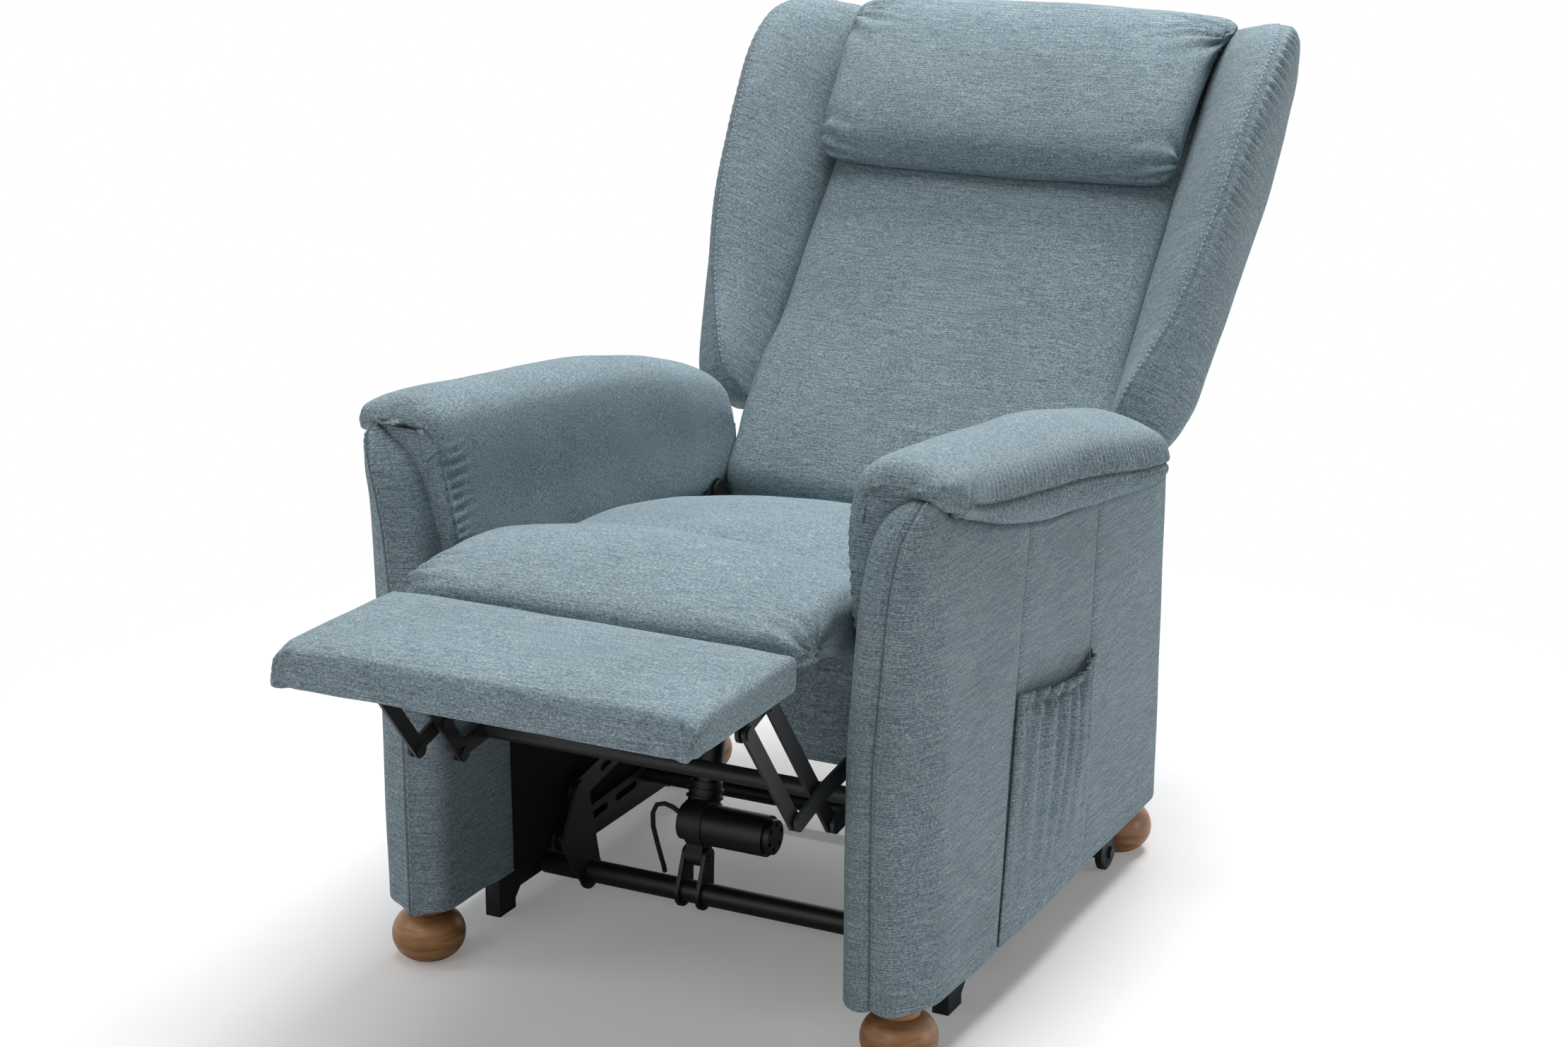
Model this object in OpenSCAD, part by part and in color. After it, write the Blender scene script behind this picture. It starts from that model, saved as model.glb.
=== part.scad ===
// Lift recliner with a folding footrest, a reclining wing back and a four-bar lift base.
// X runs across the chair, the front faces -Y and Z is up. Lengths are in millimetres.
// Side views are drawn in a frame whose first number is the distance behind the arm fronts
// and whose second number is the height above the floor.

/* [Seat and arms] */
// Clear width between the two arms
seat_gap = 500; // [470:5:560]
// Thickness of each arm box
arm_w = 100; // [85:5:120]
// Depth of the arms from front to rear
arm_d = 720; // [700:5:760]
// Height of the underside of the arms above the floor
arm_bottom = 70; // [66:1:76]
// Height of the top of the arm boxes
arm_top = 548; // [530:2:570]
// How far the armrest pads stand out past the arms
pad_overhang = 20; // [10:1:30]
// Height of the armrest pads above the arm boxes
pad_h = 112; // [90:2:120]
// Depth of the padded facing on each arm front
facing_d = 62; // [50:2:80]
// Diameter of the turned feet
bun_d = 86; // [70:2:96]
// Diameter of the flat seat on top of each turned foot
bun_neck = 46; // [36:2:54]
// Width of the side pocket
pocket_w = 212; // [160:4:230]
// Depth of the side pocket from its elastic edge to its foot
pocket_h = 262; // [200:5:270]
// How far the pocket mouth stands open
pocket_open = 15; // [12:1:22]

/* [Cushions] */
// Height of the seat cushion at its front seam
seat_front_h = 508; // [500:1:514]
// Height of the seat cushion at the back
seat_rear_h = 428; // [424:1:434]
// Crown of the seat cushion
seat_crown = 16; // [8:1:20]
// How far the front pad reaches in front of the arms
front_pad_reach = 82; // [70:1:84]
// Thickness of the front pad at its front edge
front_pad_t = 42; // [30:1:46]
// Thickness of the footrest pad
foot_pad_t = 28; // [22:1:34]
// Length of the footrest pad from rear to front
foot_pad_d = 222; // [190:2:240]
// Width of the footrest pad
foot_pad_w = 486; // [460:2:496]

/* [Back] */
// Length of the back from its hinge to the top of the cushion
back_h = 778; // [740:2:800]
// Angle of the back from upright in the shown pose
recline = 41; // [36:1:44]
// Thickness of the back cushion
back_pad_t = 58; // [50:1:66]
// Thickness of the plywood back board
back_board_t = 15; // [12:1:18]
// Thickness of the rear cover
back_cover_t = 6; // [4:1:8]
// Height of the head pillow
pillow_h = 262; // [230:2:280]
// Thickness of the head pillow
pillow_t = 56; // [44:1:66]
// How far the wings stand in front of the back cushion
wing_reach = 82; // [60:2:96]

/* [Lift base] */
// Width of the base rails
rail_w = 20; // [16:1:24]
// Height of the top of the base rails
rail_top = 58; // [52:1:61]
// Depth of the base rail section
rail_h = 34; // [28:1:38]
// Diameter of the front and rear cross tubes
cross_tube_d = 28; // [24:1:30]
// Wall of every steel tube
tube_wall = 2.5; // [2:0.5:4]
// Diameter of the transport wheels
wheel_d = 45; // [40:1:50]
// Width of the transport wheels
wheel_w = 15; // [12:1:18]
// Diameter of the wheel axles
wheel_axle_d = 8; // [6:1:10]

/* [Mechanism] */
// Thickness of the pressed steel links and plates
link_t = 4; // [3:0.5:4.5]
// Width of the lift links
lift_link_w = 30; // [26:1:36]
// Width of the folding footrest links
foot_link_w = 20; // [18:1:21]
// Diameter of the pivot pins
pin_d = 12; // [10:1:13]
// Radial clearance of every running pivot
fit = 0.05; // [0.03:0.01:0.08]
// Radial clearance at the open pivot of the control links
control_play = 1.1; // [0.9:0.1:1.6]
// Radial clearance at the eye of the lift rod
rod_play = 1.2; // [1.0:0.1:1.6]
// Diameter of the footrest drive tube
drive_tube_d = 20; // [16:1:24]
// Diameter of the gear motor
motor_d = 50; // [44:1:56]
// Length of the gear motor
motor_l = 88; // [70:2:110]
// Diameter of the lift rod
rod_d = 20; // [16:1:22]

/* [Hidden] */

$fn = 48;
eps = 0.01;
soft_gap = 0.4;

// Share of an eye's radius at which the straight flanks of a link leave it
flank = 0.97;
fabric = "#6f8791";
steel = "#1b1c1e";
timber = "#b98350";

arm_in = seat_gap / 2;
arm_out = arm_in + arm_w;

// Inner face of each base rail
rail_shift = 5;
rail_x = arm_in + (arm_w - rail_w) / 2 - rail_shift;

// Steel layers on each side, counted inwards from the arm
lining_t = 4;
layer_gap = 3;
plate_x = arm_in - lining_t - link_t;
layer_a = plate_x - layer_gap - link_t;
layer_b = layer_a - layer_gap - link_t;
layer_c = layer_b - layer_gap - link_t;

// Lift linkage pivots
lift_base = [232, 88];
control_base = [262, 140];
lift_chair = [534, 100];
control_chair = [700, 222];
rod_base = [290, 75];
rod_chair = [363, 346];
front_tube = [280, 32];
rear_tube = [arm_d - 120, 38];
wheel_axis = [arm_d - 80, wheel_d / 2];
torque_share = 0.73;

// Footrest linkage pivots: two parallelograms that share the carrier link
carrier_run = [-102, 131];
crossing_drop = [-36, 48];
follower_frame = [85, 335];
follower_cross = [-18, 322];
follower_end = [-68, 308];
drive_frame = follower_frame - crossing_drop;
drive_end = follower_cross - crossing_drop;
carrier_top = follower_cross + carrier_run;
front_top = follower_end + carrier_run;
drive_tube_share = 0.4;

// Side plate corners and the cross tube under the seat
plate_waist = [150, 318];
plate_upper = [arm_d - 160, 330];
seat_tube = along(plate_waist, plate_upper, 0.16) + [0, 10];

// Back hinge
back_hinge = [arm_d - 70, 420];

// Seat heights
seat_seam = 172;
seat_rear = back_hinge[0];
deck_front = 402;
deck_slope = 0.105;
apron_y = 105;
apron_t = 15;
apron_ear = 126;
apron_foot = 303;
front_pad_top = 517;
front_pad_lift = 30;
foot_pad_rear = -front_pad_reach - 4;
foot_pad_top = 495;
foot_board_t = 10;
foot_front = foot_pad_rear - foot_pad_d;

// The origin lies under the middle of the chair's length in the shown pose
cover_top = back_h - 6;
back_depth = back_pad_t + back_board_t + back_cover_t;
rearmost = back_hinge[0] + cover_top * sin(recline) + back_depth * cos(recline);
origin_back = (foot_front + rearmost) / 2;

// Arm bolts, on the upper strap of each side plate
bolt_spots = [[190, 322], [330, 326], [500, 330]];
bolt_d = 8;
bolt_reach = 26;

function direction(p, q) = atan2(q[1] - p[1], q[0] - p[0]);
function span(p, q) = norm(q - p);
function along(p, q, share) = p + share * (q - p);
function deck(y) = deck_front - deck_slope * (y - apron_y);
function bow(s, power) = sign(s) * pow(abs(s), power);

// Places everything in the chair's own frame
module chair_frame() {
    translate([0, -origin_back, 0])
    children();
}

// Left pieces are mirror images of the right ones
module on_side(side) {
    if (side > 0)
        children();
    else
        mirror([1, 0, 0])
        children();
}

// Extrudes a side view from x0 by a thickness
module plate(x0, thick) {
    translate([x0, 0, 0])
    rotate([90, 0, 90])
    linear_extrude(thick)
    children();
}

// Round bar along X through a side-view point
module bar(x0, x1, at, d) {
    translate([x0, at[0], at[1]])
    rotate([0, 90, 0])
    cylinder(h = x1 - x0, d = d);
}

module tube(x0, x1, at, d) {
    difference() {
        bar(x0, x1, at, d);
        bar(x0 - 1, x1 + 1, at, d - 2 * tube_wall);
    }
}

module hole_2d(at, d) {
    translate(at)
    circle(d = d);
}

// Four corners of a link between two eyes, a little inside their full width
function flanks(p, q, w1, w2) =
    let (a = direction(p, q), b = acos((w1 - w2) / 2 / span(p, q)))
    let (up = [cos(a + b), sin(a + b)], down = [cos(a - b), sin(a - b)])
    [p + flank * w1 / 2 * up, q + flank * w2 / 2 * up, q + flank * w2 / 2 * down,
        p + flank * w1 / 2 * down];

// Side view of a link with a round eye at each end
module strap(p, q, w1, w2) {
    hole_2d(p, w1);
    hole_2d(q, w2);
    polygon(flanks(p, q, w1, w2));
}

// Long flat link with equal eyes
module long_link(x0, p, q, w) {
    bar(x0, x0 + link_t, p, w);
    bar(x0, x0 + link_t, q, w);
    plate(x0, link_t)
    polygon(flanks(p, q, w, w));
}

// Long hole between two shares of a link's length
module slot(p, q, from, to, w) {
    strap(along(p, q, from), along(p, q, to), w, w);
}

function middle(ring) = [for (i = [0 : 2])
    let (c = [for (p = ring) p[i]]) (c * [for (v = c) 1]) / len(c)];

// Closed skin through rings of equal length, each a list of points, with a fan over each end
module loft(rings) {
    n = len(rings[0]);
    m = len(rings);
    end = (m - 1) * n;
    skin = [for (i = [0 : m - 2], j = [0 : n - 1])
        let (a = i * n + j, b = i * n + (j + 1) % n)
        each [[a, b, a + n], [b, b + n, a + n]]];
    first = [for (j = [0 : n - 1]) [m * n, (j + 1) % n, j]];
    last = [for (j = [0 : n - 1]) [m * n + 1, end + j, end + (j + 1) % n]];
    points = concat([for (r = rings) each r], [middle(rings[0]), middle(rings[m - 1])]);
    polyhedron(points, concat(skin, first, last), convexity = 6);
}

// One ring of a soft block: low and high faces slope from front to rear, the high one is crowned
function soft_ring(x, y0, y1, low, high, crown, n, power) = [for (k = [0 : n - 1])
    let (v = (1 + bow(cos(360 * k / n), power)) / 2)
    let (f = (1 + bow(sin(360 * k / n), power)) / 2)
    let (bottom = low[0] + v * (low[1] - low[0]))
    let (top = high[0] + v * (high[1] - high[0]) + crown * sin(180 * v))
    [x, y0 + v * (y1 - y0), bottom + f * (top - bottom)]];

// Stuffed block that is drawn in toward both sides. Front and rear are [middle, side] values,
// low and high are [front, rear] values, and drop is how far the high face sinks at the sides.
module soft_block(half_w, front, rear, low, high, drop, crown, squeeze, stations = 13, n = 20,
        power = 0.55) {
    draw_in = 8;
    loft([for (i = [0 : stations - 1])
        let (s = -cos(180 * i / (stations - 1)))
        let (q = s * s, e = pow(abs(s), 7))
        let (y0 = front[0] + q * (front[1] - front[0]) + draw_in * e)
        let (y1 = rear[0] + q * (rear[1] - rear[0]) - draw_in * e)
        soft_ring(s * half_w, y0, y1,
            [for (z = low) z + squeeze * 0.3 * e],
            high - q * drop - [1, 1] * squeeze * 0.7 * e,
            crown * (1 - e) * (1 - 0.6 * q), n, power)]);
}

// Stands a flat-drawn back piece up: its Y runs up the back and its Z points to the front
module on_back() {
    chair_frame()
    translate([0, back_hinge[0], back_hinge[1]])
    rotate([90 - recline, 0, 0])
    children();
}

// Base frame

module base_rail(side) {
    foot_w = 36;
    rail_low = rail_top - rail_h;
    rail_front = 170;
    rail_end = wheel_axis[0] + 20;
    nose = 12;
    wheel_face = rail_x + rail_w + wheel_w;
    color(steel)
    chair_frame()
    on_side(side) {
        plate(rail_x, rail_w)
        union() {
            polygon([[rail_front, 0], [rail_front, rail_top - nose],
                [rail_front + nose, rail_top], [rail_end - nose, rail_top],
                [rail_end, rail_top - nose], [rail_end, rail_low + nose],
                [rail_end - nose, rail_low], [rail_front + foot_w + nose, rail_low],
                [rail_front + foot_w, rail_low - nose], [rail_front + foot_w, 0]]);
            // lug that carries the axle
            strap([wheel_axis[0], rail_low + rail_h / 2], wheel_axis, rail_h - 6,
                wheel_axle_d + 12);
        }
        // axle with its retaining head outside the wheel
        bar(rail_x + 1, wheel_face + 1, wheel_axis, wheel_axle_d);
        bar(wheel_face, wheel_face + 3, wheel_axis, wheel_axle_d + 7);
    }
}

module base_rail_left() { base_rail(-1); }
module base_rail_right() { base_rail(1); }

module front_cross_tube() {
    color(steel)
    chair_frame()
    tube(-rail_x, rail_x, front_tube, cross_tube_d);
}

module rear_cross_tube() {
    color(steel)
    chair_frame()
    tube(-rail_x, rail_x, rear_tube, cross_tube_d - 4);
}

// Upright plate welded round the front cross tube, with the two lift pivots
module lift_bracket(side) {
    eye = pin_d + 20;
    color(steel)
    chair_frame()
    on_side(side) {
        plate(layer_c, link_t)
        difference() {
            union() {
                strap(front_tube, lift_base, cross_tube_d + 18, eye);
                strap(front_tube, control_base, cross_tube_d + 18, eye);
                strap(lift_base, control_base, eye, eye);
            }
            hole_2d(front_tube, cross_tube_d);
        }
        // pivot studs and their riveted heads
        bar(layer_c + link_t - 1, layer_a + link_t + 2, lift_base, pin_d);
        bar(layer_a + link_t + 0.3, layer_a + link_t + 2.5, lift_base, pin_d + 6);
        bar(layer_c + link_t - 1, layer_b + link_t + 2, control_base, pin_d);
        bar(layer_b + link_t + 0.3, layer_b + link_t + 2.5, control_base, pin_d + 6);
    }
}

module lift_bracket_left() { lift_bracket(-1); }
module lift_bracket_right() { lift_bracket(1); }

// Clevis that carries the foot of the lift actuator
actuator_x = -78;
lug_w = 22;
clevis_t = 5;
foot_pin_d = 10;

module actuator_bracket() {
    color(steel)
    chair_frame()
    translate([actuator_x, 0, 0]) {
        for (side = [-1, 1])
            plate(side * (lug_w / 2 + 0.5 + clevis_t / 2) - clevis_t / 2, clevis_t)
            difference() {
                strap(front_tube, rod_base, cross_tube_d + 12, foot_pin_d + 14);
                hole_2d(front_tube, cross_tube_d);
            }
        bar(-lug_w / 2 - clevis_t - 3, lug_w / 2 + clevis_t + 3, rod_base, foot_pin_d);
    }
}

module wheel(side) {
    side_gap = 0.5;
    tread = 3;
    dish = 1;
    bore_r = wheel_axle_d / 2 + fit;
    hub_r = wheel_axle_d / 2 + 5;
    rim_r = wheel_d / 2;
    wide = wheel_w - 2 * side_gap;
    color("#26272a")
    chair_frame()
    on_side(side)
    translate([rail_x + rail_w + side_gap, wheel_axis[0], wheel_axis[1]])
    rotate([0, 90, 0])
    rotate_extrude($fn = 64)
    polygon([[bore_r, 0], [hub_r, 0], [hub_r, dish], [rim_r - 2 * tread, 2 * dish],
        [rim_r - tread, dish], [rim_r, tread], [rim_r, wide - tread],
        [rim_r - tread, wide - dish], [rim_r - 2 * tread, wide - 2 * dish],
        [hub_r, wide - dish], [hub_r, wide], [bore_r, wide]]);
}

module wheel_left() { wheel(-1); }
module wheel_right() { wheel(1); }

// Lift linkage

module lift_link(side) {
    bore = pin_d + 2 * fit;
    color(steel)
    chair_frame()
    on_side(side)
    difference() {
        long_link(layer_a, lift_base, lift_chair, lift_link_w);
        for (at = [lift_base, lift_chair])
            bar(layer_a - 1, layer_a + link_t + 1, at, bore);
        plate(layer_a - 1, link_t + 2) {
            slot(lift_base, lift_chair, 0.17, 0.36, lift_link_w / 3);
            slot(lift_base, lift_chair, 0.46, 0.6, lift_link_w / 3);
        }
    }
}

module lift_link_left() { lift_link(-1); }
module lift_link_right() { lift_link(1); }

module lift_torque_tube() {
    color(steel)
    chair_frame()
    tube(-layer_a, layer_a, along(lift_base, lift_chair, torque_share), drive_tube_d + 2);
}

module control_link(side) {
    color(steel)
    chair_frame()
    on_side(side)
    difference() {
        long_link(layer_b, control_base, control_chair, lift_link_w);
        bar(layer_b - 1, layer_b + link_t + 1, control_base, pin_d + 2 * fit);
        bar(layer_b - 1, layer_b + link_t + 1, control_chair, pin_d + 2 * control_play);
        plate(layer_b - 1, link_t + 2) {
            slot(control_base, control_chair, 0.14, 0.44, lift_link_w / 3);
            slot(control_base, control_chair, 0.54, 0.84, lift_link_w / 3);
        }
    }
}

module control_link_left() { control_link(-1); }
module control_link_right() { control_link(1); }

// Lift actuator, drawn along its own axis from the foot pin and then leaned

rod_angle = direction(rod_base, rod_chair) - 90;
rod_span = span(rod_base, rod_chair);
housing_d = 40;
housing_low = 20;
housing_high = 92;
sleeve_d = rod_d + 14;
sleeve_end = 232;
rod_start = 104;
motor_at = [-24, 44];
motor_start = housing_d / 2 + 3;

module on_actuator() {
    chair_frame()
    translate([actuator_x, rod_base[0], rod_base[1]])
    rotate([rod_angle, 0, 0])
    children();
}

module gearbox_housing() {
    rib = 3;
    rib_step = 9;
    color("#202124")
    on_actuator()
    difference() {
        union() {
            // foot lug
            plate(-lug_w / 2, lug_w)
            strap([0, 0], [0, housing_low + 8], foot_pin_d + 14, housing_d - 8);
            // body with its worm chamber and motor flange
            translate([0, 0, housing_low])
            cylinder(h = housing_high - housing_low, d = housing_d);
            plate(-lug_w / 2, lug_w)
            strap([0, motor_at[1]], motor_at, housing_d + 10, motor_d - 4);
            // collar of the motor
            bar(0, motor_start, motor_at, motor_d + 4);
            for (z = [housing_low + 6 : rib_step : housing_high - 6])
                translate([0, 0, z])
                cylinder(h = rib, d = housing_d + 5);
        }
        bar(-lug_w, lug_w, [0, 0], foot_pin_d + 2 * fit);
        // seat of the sleeve
        translate([0, 0, housing_high - 14])
        cylinder(h = 20, d = sleeve_d);
    }
}

module motor_can() {
    vent = 5;
    cap = 8;
    color("#18191b")
    on_actuator()
    difference() {
        union() {
            bar(motor_start, motor_start + motor_l - cap, motor_at, motor_d);
            bar(motor_start + motor_l - cap, motor_start + motor_l, motor_at, motor_d - 8);
        }
        // vent slots round the end cap
        for (a = [0 : 60 : 300])
            translate([motor_start + motor_l - cap / 2, motor_at[0], motor_at[1]])
            rotate([a, 0, 0])
            translate([0, -vent / 2, motor_d / 4])
            cube([cap, vent, motor_d / 8]);
    }
}

module actuator_tube() {
    color("#2b2d30")
    on_actuator()
    difference() {
        union() {
            translate([0, 0, housing_high - 14])
            cylinder(h = sleeve_end - housing_high + 14, d = sleeve_d);
            // end cap with its wiper
            translate([0, 0, sleeve_end - 12])
            cylinder(h = 12, d = sleeve_d + 5);
        }
        translate([0, 0, housing_high - 10])
        cylinder(h = sleeve_end, d = rod_d + 2 * fit);
    }
}

eye_d = foot_pin_d + 20;

module actuator_rod() {
    color("#a9acb0")
    on_actuator()
    difference() {
        union() {
            translate([0, 0, rod_start])
            cylinder(h = rod_span - rod_start, d = rod_d);
            bar(-lug_w / 2 + 2, lug_w / 2 - 2, [0, rod_span], eye_d);
        }
        bar(-lug_w, lug_w, [0, rod_span], foot_pin_d + 2 * rod_play);
    }
}

// Lead from the gear housing down toward the front cross tube
lead_d = 6;
lead_points = [[-90.8, 272, 134], [-100, 270, 141], [-110, 267, 145], [-119, 264, 143],
    [-124, 263, 132], [-125, 265, 114], [-122, 269, 92], [-119, 273, 72], [-118, 277, 60],
    [-118, 280, 50.8]];

module lead_tube(points, d) {
    sides = 8;
    m = len(points);
    loft([for (i = [0 : m - 1])
        let (ahead = points[min(i + 1, m - 1)] - points[max(i - 1, 0)])
        let (t = ahead / norm(ahead))
        let (u0 = cross(t, [0.2, 1, 0.1]), u = u0 / norm(u0), w = cross(t, u))
        [for (k = [0 : sides - 1]) points[i] + d / 2 * (cos(360 * k / sides) * u
            + sin(360 * k / sides) * w)]]);
}

module motor_lead() {
    color("#141414")
    chair_frame()
    lead_tube(lead_points, lead_d);
}

// Seat frame of the chair body

module side_plate(side) {
    eye = pin_d + 16;
    upper = plate_upper;
    waist = plate_waist;
    color(steel)
    chair_frame()
    on_side(side) {
        plate(plate_x, link_t)
        difference() {
            union() {
                strap(waist, upper, 44, 40);
                strap(waist, follower_frame, 44, eye);
                strap(waist, drive_frame, 44, eye);
                strap(upper, lift_chair, 40, lift_link_w + 2);
                strap(upper, control_chair, 40, lift_link_w + 2);
                strap(lift_chair, control_chair, 24, 24);
                strap(upper, back_hinge, 40, eye + 4);
            }
            hole_2d(back_hinge, pin_d + 2 * fit);
            for (spot = bolt_spots)
                hole_2d(spot, bolt_d);
            slot(waist, upper, 0.22, 0.36, 16);
            slot(waist, upper, 0.6, 0.72, 16);
            slot(upper, lift_chair, 0.3, 0.62, 14);
        }
        // riveted pivot studs on the inner face
        for (at = [follower_frame, drive_frame, lift_chair]) {
            bar(layer_a - 2, plate_x + 1, at, pin_d);
            bar(layer_a - 2.5, layer_a - 0.3, at, pin_d + 6);
        }
        bar(layer_b - 2, plate_x + 1, control_chair, pin_d);
        bar(layer_b - 2.5, layer_b - 0.3, control_chair, pin_d + 8);
    }
}

module side_plate_left() { side_plate(-1); }
module side_plate_right() { side_plate(1); }

// The tube passes behind the rod pin
rod_tube = rod_chair + [34, 0];
rod_tube_d = cross_tube_d - 4;

module lift_cross_tube() {
    lug_gap = rod_d + 1.4;
    color(steel)
    chair_frame() {
        tube(-plate_x, plate_x, rod_tube, rod_tube_d);
        // two lugs reach forward to the pin
        translate([actuator_x, 0, 0]) {
            for (side = [-1, 1])
                plate(side * (lug_gap / 2 + clevis_t / 2) - clevis_t / 2, clevis_t)
                difference() {
                    strap(rod_chair, rod_tube, foot_pin_d + 12, cross_tube_d + 2);
                    hole_2d(rod_tube, rod_tube_d);
                }
            bar(-lug_gap / 2 - clevis_t - 3, lug_gap / 2 + clevis_t + 3, rod_chair, foot_pin_d);
        }
    }
}

module seat_cross_tube() {
    color(steel)
    chair_frame()
    tube(-plate_x, plate_x, seat_tube, drive_tube_d + 2);
}

// Height of the underside of the front pad
function pad_under(y) = front_pad_top - front_pad_t
    + (y + front_pad_reach) / (seat_seam + front_pad_reach)
    * (deck(seat_seam) + front_pad_lift - front_pad_top + front_pad_t);

// Upholstered front board of the seat, with a leg down each side of the footrest linkage
module seat_apron() {
    half = plate_x;
    pad_sink = 1.4;
    top = pad_under(apron_y + apron_t) + pad_sink;
    bridge = 352;
    corner = 30;
    color(fabric)
    chair_frame()
    translate([0, apron_y + apron_t, 0])
    rotate([90, 0, 0])
    linear_extrude(apron_t)
    polygon([[-half, apron_foot], [-apron_ear - corner, apron_foot],
        [-apron_ear, apron_foot + corner], [-apron_ear, bridge], [apron_ear, bridge],
        [apron_ear, apron_foot + corner], [apron_ear + corner, apron_foot], [half, apron_foot],
        [half, top], [-half, top]]);
}

rear_rail_y = back_hinge[0] - 50;
rear_rail_t = 20;
web_t = 2;

module seat_rear_rail() {
    rail_depth = 46;
    top = deck(rear_rail_y + rear_rail_t) - web_t;
    color(timber)
    chair_frame()
    translate([-plate_x, rear_rail_y, top - rail_depth])
    cube([2 * plate_x, rear_rail_t, rail_depth]);
}

// Elastic webbing from the rear face of the apron back over the rear rail
module seat_webbing() {
    count = 5;
    band = 60;
    pitch = (2 * plate_x - band) / (count - 1);
    front = apron_y + apron_t;
    rear = rear_rail_y + rear_rail_t;
    color("#2a2a28")
    chair_frame()
    for (i = [0 : count - 1])
        plate(-plate_x + i * pitch, band)
        polygon([[front, deck(front) - web_t], [front, deck(front)], [rear, deck(rear)],
            [rear, deck(rear) - web_t], [rear_rail_y, deck(rear) - web_t]]);
}

module seat_cushion() {
    half = plate_x - 1;
    front = seat_seam + soft_gap;
    color(fabric)
    chair_frame()
    soft_block(half, [front, front], [seat_rear, seat_rear - 16],
        [deck(front) + soft_gap, deck(seat_rear) + soft_gap],
        [seat_front_h, seat_rear_h], [42, 14], seat_crown, 22, stations = 13, n = 22);
}

module front_pad() {
    half = plate_x - 1;
    nose = -front_pad_reach;
    color(fabric)
    chair_frame()
    soft_block(half, [nose, nose + 6], [seat_seam, seat_seam],
        [pad_under(nose), pad_under(seat_seam)],
        [front_pad_top, seat_front_h], [10, 36], 8, 18, stations = 13, n = 22);
}

// Arms

arm_mid = (arm_in + arm_out) / 2;
arm_drop_from = 0.78;
arm_drop = 0.37;
facing_bulge = 10;
lining_top = 395;
facing_top = arm_top + 87;

function arm_top_at(y) = arm_top - arm_drop * max(0, y - arm_drop_from * arm_d);

module arm_body(side) {
    heel = 14;
    color(fabric)
    chair_frame()
    on_side(side)
    difference() {
        plate(arm_in, arm_w)
        polygon([[facing_d, arm_bottom], [arm_d - heel, arm_bottom],
            [arm_d, arm_bottom + heel], [arm_d, arm_top_at(arm_d)],
            [arm_drop_from * arm_d, arm_top], [facing_d, arm_top]]);
        for (spot = bolt_spots)
            bar(arm_in - 1, arm_in + bolt_reach, spot, bolt_d);
    }
}

module arm_body_left() { arm_body(-1); }
module arm_body_right() { arm_body(1); }

// Padded front facing, rounded most at its outer corner and domed on top
module arm_facing(side) {
    outer_r = 50;
    inner_r = 30;
    dome = arm_w / 2;
    top = facing_top;
    color(fabric)
    chair_frame()
    on_side(side)
    intersection() {
        translate([0, 0, arm_bottom])
        linear_extrude(top - arm_bottom)
        union() {
            translate([arm_in + inner_r, -facing_bulge])
            square([arm_w - inner_r - outer_r, facing_d + facing_bulge]);
            translate([arm_in, inner_r - facing_bulge])
            square([arm_w, facing_d + facing_bulge - inner_r - eps]);
            translate([arm_in + inner_r, inner_r - facing_bulge])
            circle(r = inner_r);
            difference() {
                translate([arm_out - outer_r, outer_r - facing_bulge])
                circle(r = outer_r);
                translate([arm_in - 1, facing_d])
                square([arm_w + 2, outer_r]);
            }
        }
        translate([0, facing_d, 0])
        rotate([90, 0, 0])
        linear_extrude(facing_d + facing_bulge)
        union() {
            translate([arm_in, arm_bottom])
            square([arm_w, top - dome - arm_bottom]);
            translate([arm_mid, top - dome])
            circle(r = dome);
        }
    }
}

module arm_facing_left() { arm_facing(-1); }
module arm_facing_right() { arm_facing(1); }

// Cross section of the armrest pad: across from the inner face, and up from its bed
pad_section = [[-0.99, 0], [-0.99, 0.5], [-0.93, 0.75], [-0.74, 0.92], [-0.4, 1], [0.05, 1],
    [0.5, 0.95], [0.85, 0.84], [1.13, 0.66], [1.32, 0.45], [1.4, 0.24], [1.36, 0.07],
    [1.2, 0], [0.6, 0], [0, 0], [-0.5, 0]];
// Stations over the facing: distance behind it, then shares of the pad height and its width
pad_nose = [[-26, 0.875, 0.6], [-17.4, 0.945, 0.84], [0.6, 0.985, 0.95]];
// Stations along the arm: shares of the arm depth, the pad height, its width and its overhang
pad_line = [[0.0915, 0.99, 0.97, 0.05], [0.15, 1.01, 1, 0.35], [0.26, 1, 1, 0.8],
    [0.4, 0.93, 1, 1], [0.54, 0.84, 1, 1], [0.66, 0.71, 1, 1],
    [arm_drop_from, 0.51, 1, 0.88], [0.85, 0.31, 0.98, 0.7], [0.92, 0.06, 0.93, 0.5],
    [0.965, -0.13, 0.86, 0.3], [0.988, -0.28, 0.7, 0.2]];

// One ring of the pad, from its bed up to its crown
function pad_ring(y, bed, high, wide, out) =
    let (crown = arm_top + high * pad_h, reach = pad_overhang / (pad_section[10][0] - 1))
    [for (p = pad_section)
        let (over = max(0, p[0] - 1) * reach * out)
        let (w = min(p[0], 1) * wide * arm_w / 2)
        [arm_mid + w + over, y, bed + p[1] * (crown - bed)]];

module armrest_pad(side) {
    color(fabric)
    chair_frame()
    on_side(side)
    loft(concat(
        [for (s = pad_nose) pad_ring(facing_d + s[0], facing_top + 1, s[1], s[2], 0)],
        [for (s = pad_line)
            let (y = s[0] * arm_d)
            pad_ring(y, arm_top_at(y) + soft_gap, s[1], s[2], s[3])]));
}

module armrest_pad_left() { armrest_pad(-1); }
module armrest_pad_right() { armrest_pad(1); }

pocket_from = 246;
pocket_top = 356;

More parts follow.
